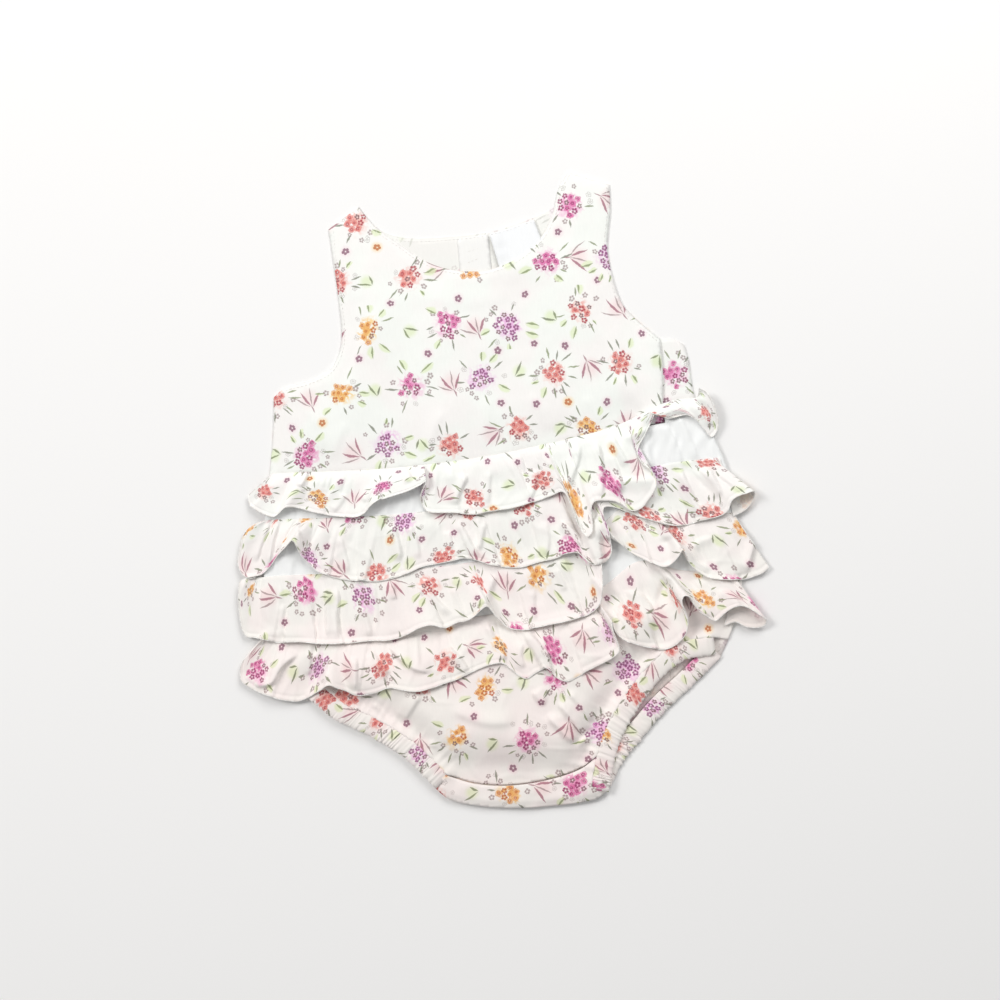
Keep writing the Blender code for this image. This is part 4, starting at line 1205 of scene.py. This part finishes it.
def ruffleGrid(tier):
    curve = smoothCurve(hems[tier], 1.0)
    curve[:, 2] -= ruffle["settled"] * np.exp(-((curve[:, 2] - 6) / 2.3) ** 2)
    run = runOf(curve * (1, ruffle["fall"], ruffle["fall"]))
    count = int(run[-1] / ruffle["step"])
    curve = evenly(curve, count, run)
    left, right = ruffle["ends"][tier]
    across = np.maximum.accumulate(curve[:, 0])
    across = (across - across[0]) / (across[-1] - across[0])
    share = ruffle["acrossShare"] * across + (1 - ruffle["acrossShare"]) * np.linspace(0, 1, count)
    x = left + (right - left) * share
    seam = np.column_stack([x, seamAt(tier, x), np.full(count, ruffle["seamHeight"])])
    length = np.linalg.norm(curve[:, :2] - seam[:, :2], axis=1)
    pushed = np.clip(1 - length / ruffle["depth"], 0, 1)
    s = runOf(curve)  # along the hem, as cut
    v = np.linspace(0, 1, ruffle["rows"])[:, None]
    grid = seam + (curve - seam) * v[:, :, None]
    grid[:, :, 2] = seam[:, 2] + (curve[:, 2] - seam[:, 2]) * v ** ruffle["drape"] - ruffle["sunk"]
    grid[:, :, 2] += np.sin(math.pi * v) * pushed * ruffle["hump"] * np.minimum(length, ruffle["humpWithin"])
    relief = gathers(x[None, :], v, 40 + tier, ruffle["broad"])
    bunched = eased(0.3 + 1.5 * ripple(x / 11, 70 + tier))
    relief += bunched * gathers(x[None, :], v, 50 + tier, ruffle["narrow"])
    relief += facets(tier, x[None, :], v)
    relief *= np.clip(np.gradient(x) / np.gradient(x).mean(), 0.25, 1.0)
    grid[:, :, 1] += 0.35 * relief * v * v
    relief = relief + (0.6 + 0.6 * ripple(s / 17, 90 + tier)) * v * v
    relief += ruffle["hemLift"] * eased((v - 0.72) / 0.28) * (0.65 + 0.35 * ripple(s / 14, 95 + tier))
    grid[:, :, 0] += 0.5 * np.sin(math.pi * v) * ripple(s / 9, 99 + tier)
    flat = grid.reshape(-1, 3)
    creases = ruffle["creased"] * folded(flat[:, 0], flat[:, 1], ruffleFolds[tier])
    creases += wrinkled(flat[:, 0], flat[:, 1], 17, 300 + tier, 0.3)
    relief += creases.reshape(relief.shape) + ruffle["turning"] * eased((v - 0.945) / 0.02)
    relief -= ruffle["groove"] * np.exp(-((v - 0.935) / 0.016) ** 2)
    if tier > 0:
        relief *= 0.3 + 0.7 * eased(v / 0.3)  # pressed flat under the ruffle above
    shape = (ruffle["rows"], count)
    uv = np.stack([np.broadcast_to(s, shape), -ruffle["depth"] * np.broadcast_to(v, shape)], axis=2)
    return grid, relief, uv


def eveningOut(z, passes):
    for _ in range(passes):
        soft = z.copy()
        soft[1:-1] = (z[:-2] + 2 * z[1:-1] + z[2:]) / 4
        soft[:, 1:-1] = (soft[:, :-2] + 2 * soft[:, 1:-1] + soft[:, 2:]) / 4
        z = soft
    return z


def makeRuffle(tier, below):
    grid, relief, uv = ruffleGrid(tier)
    rows, count, _ = grid.shape
    x, y, _ = grid.reshape(-1, 3).T
    floor = heightOf(below, x, y, 1.2).reshape(rows, count) + cloth["gap"] + cloth["thick"] / 2
    floor = np.where(np.isnan(floor), ruffle["bareFloor"], floor)
    laid = eveningOut(np.maximum(grid[:, :, 2], eveningOut(floor, 4)), 3)
    grid[:, :, 2] = np.maximum(laid + relief, floor)
    grid[:3, :, 2] -= np.array(ruffle["sewnIn"])[:, None]  # sewn in at the seam
    faces = [(j * count + i, (j + 1) * count + i, (j + 1) * count + i + 1, j * count + i + 1)
             for j in range(rows - 1) for i in range(count - 1)]
    uv = uv.reshape(-1, 2) + np.array(ruffle["printStep"]) * tier + ruffle["printShift"]
    sides = [printRight, printRight if tier == 0 else printWrong]
    obj = addPiece(f"ruffle_{tier + 1}_cloth", grid.reshape(-1, 3), faces, uv, sides)
    edge = np.concatenate([grid[:, 0], grid[-1], grid[::-1, -1]])
    length = (ruffle["ends"][tier][1] - ruffle["ends"][tier][0]) * ruffle["fullness"]
    return thicken(obj, cloth["thick"], 0.0, wrongSide=True), edge, length


layers = [back, front, base, bloomers, crotch, *bands.values()]
ruffles = []
for tier in (3, 2, 1, 0):
    made = makeRuffle(tier, treeOf(layers))
    ruffles.append(made)
    layers.append(made[0])
    print("ruffle", tier + 1, "laid, cut", round(made[2]), "mm long")


# Narrow rolled hems and stitches, by Geometry Nodes along lines.
def lineObject(name, lines):
    points = np.concatenate(lines)
    edges = []
    start = 0
    for line in lines:
        edges += [(start + i, start + i + 1) for i in range(len(line) - 1)]
        start += len(line)
    points[:, :2] -= middle
    mesh = bpy.data.meshes.new(name)
    mesh.from_pydata((points * mm).tolist(), edges, [])
    obj = bpy.data.objects.new(name, mesh)
    garment.objects.link(obj)
    return obj


def treeInput(tree, name, kind, value=None):
    socket = tree.interface.new_socket(name=name, in_out="INPUT", socket_type=kind)
    if value is not None:
        socket.default_value = value
    return socket.identifier


def threadTree(name, corded, stretch):
    tree = bpy.data.node_groups.new(name, "GeometryNodeTree")
    treeInput(tree, "Geometry", "NodeSocketGeometry")
    sockets = {
        "radius": treeInput(tree, "Thread Radius", "NodeSocketFloat", 0.0003),
        "pitch": treeInput(tree, "Stitch Pitch", "NodeSocketFloat", 0.0012),
        "seed": treeInput(tree, "Seed", "NodeSocketInt", 1),
        "thread": treeInput(tree, "Thread", "NodeSocketMaterial"),
    }
    tree.interface.new_socket(name="Geometry", in_out="OUTPUT", socket_type="NodeSocketGeometry")
    ins = tree.nodes.new("NodeGroupInput")
    outs = tree.nodes.new("NodeGroupOutput")
    make = tree.nodes.new
    link = tree.links.new
    toCurve = make("GeometryNodeMeshToCurve")
    even = make("GeometryNodeResampleCurve")
    even.mode = "LENGTH"
    stitch = make("GeometryNodeMeshUVSphere")
    stitch.inputs["Segments"].default_value = 6
    stitch.inputs["Rings"].default_value = 4
    stitch.inputs["Radius"].default_value = 1.0
    along = make("GeometryNodeInputTangent")
    align = make("FunctionNodeAlignRotationToVector")
    align.axis = "X"
    onLine = make("GeometryNodeInstanceOnPoints")
    luck = make("FunctionNodeRandomValue")
    luck.data_type = "FLOAT"
    luck.inputs["Min"].default_value = 0.85
    luck.inputs["Max"].default_value = 1.2
    shape = make("ShaderNodeVectorMath")
    shape.operation = "SCALE"
    shape.inputs[0].default_value = stretch
    varied = make("ShaderNodeVectorMath")
    varied.operation = "SCALE"
    together = make("GeometryNodeJoinGeometry")
    real = make("GeometryNodeRealizeInstances")
    smooth = make("GeometryNodeSetShadeSmooth")
    paint = make("GeometryNodeSetMaterial")
    link(ins.outputs["Geometry"], toCurve.inputs["Mesh"])
    link(toCurve.outputs["Curve"], even.inputs["Curve"])
    link(ins.outputs["Stitch Pitch"], even.inputs["Length"])
    link(even.outputs["Curve"], onLine.inputs["Points"])
    link(stitch.outputs["Mesh"], onLine.inputs["Instance"])
    link(along.outputs[0], align.inputs["Vector"])
    link(align.outputs["Rotation"], onLine.inputs["Rotation"])
    link(ins.outputs["Seed"], luck.inputs["Seed"])
    link(ins.outputs["Thread Radius"], shape.inputs["Scale"])
    link(shape.outputs[0], varied.inputs[0])
    link(luck.outputs[1], varied.inputs["Scale"])
    link(varied.outputs[0], onLine.inputs["Scale"])
    link(onLine.outputs["Instances"], together.inputs[0])
    if corded:
        circle = make("GeometryNodeCurvePrimitiveCircle")
        circle.inputs["Resolution"].default_value = 6
        cord = make("GeometryNodeCurveToMesh")
        cord.inputs["Fill Caps"].default_value = True
        link(ins.outputs["Thread Radius"], circle.inputs["Radius"])
        link(toCurve.outputs["Curve"], cord.inputs["Curve"])
        link(circle.outputs["Curve"], cord.inputs["Profile Curve"])
        link(cord.outputs["Mesh"], together.inputs[0])
    link(together.outputs["Geometry"], real.inputs["Geometry"])
    link(real.outputs["Geometry"], smooth.inputs["Geometry"])
    link(smooth.outputs["Geometry"], paint.inputs["Geometry"])
    link(ins.outputs["Thread"], paint.inputs["Material"])
    link(paint.outputs["Geometry"], outs.inputs["Geometry"])
    return tree, sockets


rolledHem = threadTree("rolledHem", True, (1.15, 1.25, 1.25))
runningStitch = threadTree("runningStitch", False, (5.4, 1.0, 0.7))


def sewn(name, kind, lines, radius, pitch, seed):
    tree, sockets = kind
    obj = lineObject(name, lines)
    nodes = obj.modifiers.new("thread", "NODES")
    nodes.node_group = tree
    nodes[sockets["radius"]] = radius * mm
    nodes[sockets["pitch"]] = pitch * mm
    nodes[sockets["seed"]] = seed
    nodes[sockets["thread"]] = threadWhite
    bake(obj)
    return obj


hemPieces = []
for (_, edge, _), tier in zip(ruffles, (4, 3, 2, 1)):
    hemPieces.append(sewn(f"ruffle_{tier}_rolled_hem", rolledHem, [edge[::2]], 0.3, 1.25, tier))
print("rolled hems made")

sewing = {
    "neckline": [(64, 194), (58, 185), (53, 170), (45, 157), (31, 146), (10, 139), (-15, 142),
                 (-31, 150), (-43, 160), (-58, 173), (-66, 185)],
    "leftArmhole": [(-86, 172), (-86, 154), (-85, 129), (-86, 102), (-94, 87), (-108, 81), (-124, 78),
                    (-130, 74)],
    "rightArmhole": [(111, 87), (101, 97), (92, 108), (87, 125), (85, 146), (89, 168), (90, 183)],
    "backNeck": [(52, 172.5), (41, 169), (26, 165), (12, 162.5), (-9, 162), (-40, 164), (-53, 169),
                 (-59, 174)],
    "placketLeft": [(-8, 141), (-8, 160)],
    "placketRight": [(12, 161), (12, 141)],
    "crotchSeam": [(51, -168), (38, -175), (18, -180), (-8, -181.5), (-30, -178), (-44, -172)],
    "buttonMarks": [[(-1, 152), (4, 153)], [(-2, 145), (3, 146.5)]],
    "inset": 1.9,
    "radius": 0.15,
    "pitch": 2.5,
}


def stitchLine(points, inset, cloths):
    line = evenly(smoothCurve(points, 1.0), int(runOf(np.array(points, float))[-1] / 1.2))
    ahead = np.gradient(line, axis=0)
    ahead /= np.linalg.norm(ahead, axis=1)[:, None]
    line = line + inset * np.column_stack([-ahead[:, 1], ahead[:, 0]])  # to the left of its direction
    z = heightOf(treeOf(cloths), *line.T, 0.5)
    return np.column_stack([line, z + 0.6 * sewing["radius"]])


inset = sewing["inset"]
edges = [stitchLine(sewing[name], inset, [front]) for name in ("neckline", "leftArmhole", "rightArmhole")]
inside = [stitchLine(sewing["backNeck"], inset, [back, placket, label])]
inside += [stitchLine(sewing[name], inset, [placket]) for name in ("placketLeft", "placketRight")]
inside += [stitchLine(mark, 0, [placket]) for mark in sewing["buttonMarks"]]
seam = [stitchLine(sewing["crotchSeam"], inset, [crotch, bloomers])]
stitchPieces = [
    sewn("bodice_edge_stitches", runningStitch, edges, sewing["radius"], sewing["pitch"], 11),
    sewn("back_neck_stitches", runningStitch, inside, sewing["radius"], sewing["pitch"], 12),
    sewn("crotch_seam_stitches", runningStitch, seam, sewing["radius"], sewing["pitch"], 13),
]
print("stitches sewn")

# Surface, light and camera.
stage = {"size": 14.0, "colour": tint(246, 245, 244)}
bpy.ops.mesh.primitive_plane_add(size=stage["size"])
table = bpy.context.object
table.name = "white_surface"
mat = bpy.data.materials.new("white surface")
mat.use_nodes = True
mat.node_tree.nodes["Principled BSDF"].inputs["Base Color"].default_value = stage["colour"]
mat.node_tree.nodes["Principled BSDF"].inputs["Roughness"].default_value = 0.9
table.data.materials.append(mat)
table.location.z = -0.0004

light = {
    "window": {"energy": 32.3, "colour": (1.0, 0.985, 0.972), "size": 0.9, "at": (-1.6, 1.0, 2.0)},
    "lamp": {"energy": 10.7, "colour": (1.0, 0.992, 0.982), "size": 0.9, "at": (0.5, 0.95, 1.1)},
    "sky": 0.405,
    "skyColour": (0.975, 0.99, 1.0),
}
for name in ("window", "lamp"):
    data = bpy.data.lights.new(name, "AREA")
    data.energy = light[name]["energy"]
    data.size = light[name]["size"]
    data.color = light[name]["colour"]
    lit = bpy.data.objects.new(name, data)
    lit.location = light[name]["at"]
    lit.rotation_euler = (-Vector(light[name]["at"])).to_track_quat("-Z", "Y").to_euler()
    bpy.context.scene.collection.objects.link(lit)
world = bpy.data.worlds.new("room")
world.use_nodes = True
world.node_tree.nodes["Background"].inputs[0].default_value = (*light["skyColour"], 1)
world.node_tree.nodes["Background"].inputs[1].default_value = light["sky"]
bpy.context.scene.world = world
bpy.context.scene.view_settings.view_transform = "Standard"

view = {"across": 0.624, "centre": (3.3, -4.3), "turn": -5.5, "height": 1.6}  # metres across the frame
cameraData = bpy.data.cameras.new("camera")
cameraData.lens = cameraData.sensor_width * view["height"] / view["across"]
camera = bpy.data.objects.new("camera", cameraData)
camera.location = ((view["centre"][0] - middle[0]) * mm, (view["centre"][1] - middle[1]) * mm, view["height"])
camera.rotation_euler = (0, 0, math.radians(view["turn"]))
bpy.context.scene.collection.objects.link(camera)
bpy.context.scene.camera = camera

# What each piece stands for, and the flat size it was cut to.
def flatCut(node, ease=1.0):
    ring = cadOutline(node)
    wide, long = (ring.max(axis=0) - ring.min(axis=0)) * mm
    x, y = ring.T
    area = 0.5 * abs(np.sum(x * np.roll(y, -1) - y * np.roll(x, -1))) * mm * mm
    return {"flat": (wide, long * ease), "area": area * ease}


bandEase = {"long": 1.12, "wide": 0.0125}
bloomerEase = 1.04


def bandCut(node):
    one, two = bandLine(node)
    length = runOf(0.5 * (one + two))[-1] * mm * bandEase["long"]
    return {"flat": (length, bandEase["wide"]), "area": length * bandEase["wide"]}


standsFor = [
    (back, "back", "print", "laid", flatCut("back"), ["white_surface"]),
    (front, "front_bodice", "print", "laid", flatCut("front_bodice"), ["back_cloth"]),
    (base, "front_base", "white", "laid", flatCut("front_base"), ["back_cloth"]),
    (bloomers, "bloomer_front", "print", "laid", flatCut("bloomer_front", bloomerEase), ["back_cloth"]),
    (crotch, "crotch_band", "print", "laid", flatCut("crotch_band"), ["back_cloth"]),
    (placket, "back_placket", "white", "laid", flatCut("back_placket"), ["back_cloth"]),
    (label, "neck_label", "label", "laid", flatCut("neck_label"), ["back_cloth"]),
]
standsFor += [(obj, node, "print", "gathered", bandCut(node), ["back_cloth"]) for node, obj in bands.items()]
for (obj, _, length), tier, hem in zip(ruffles, (4, 3, 2, 1), hemPieces):
    flat = (length * mm, ruffle["depth"] * mm)
    cut = {"flat": flat, "area": flat[0] * flat[1], "with_pieces": [hem]}
    under = "bloomer_front_cloth" if tier == 4 else f"ruffle_{tier + 1}_cloth"
    standsFor.append((obj, f"ruffle_{tier}", "print", "gathered", cut, [under, "front_under_ruffles_cloth"]))
for obj, node, slot, held, cut, under in standsFor:
    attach(obj, "root")
    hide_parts(node)
for obj in hemPieces + stitchPieces:
    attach(obj, "root")
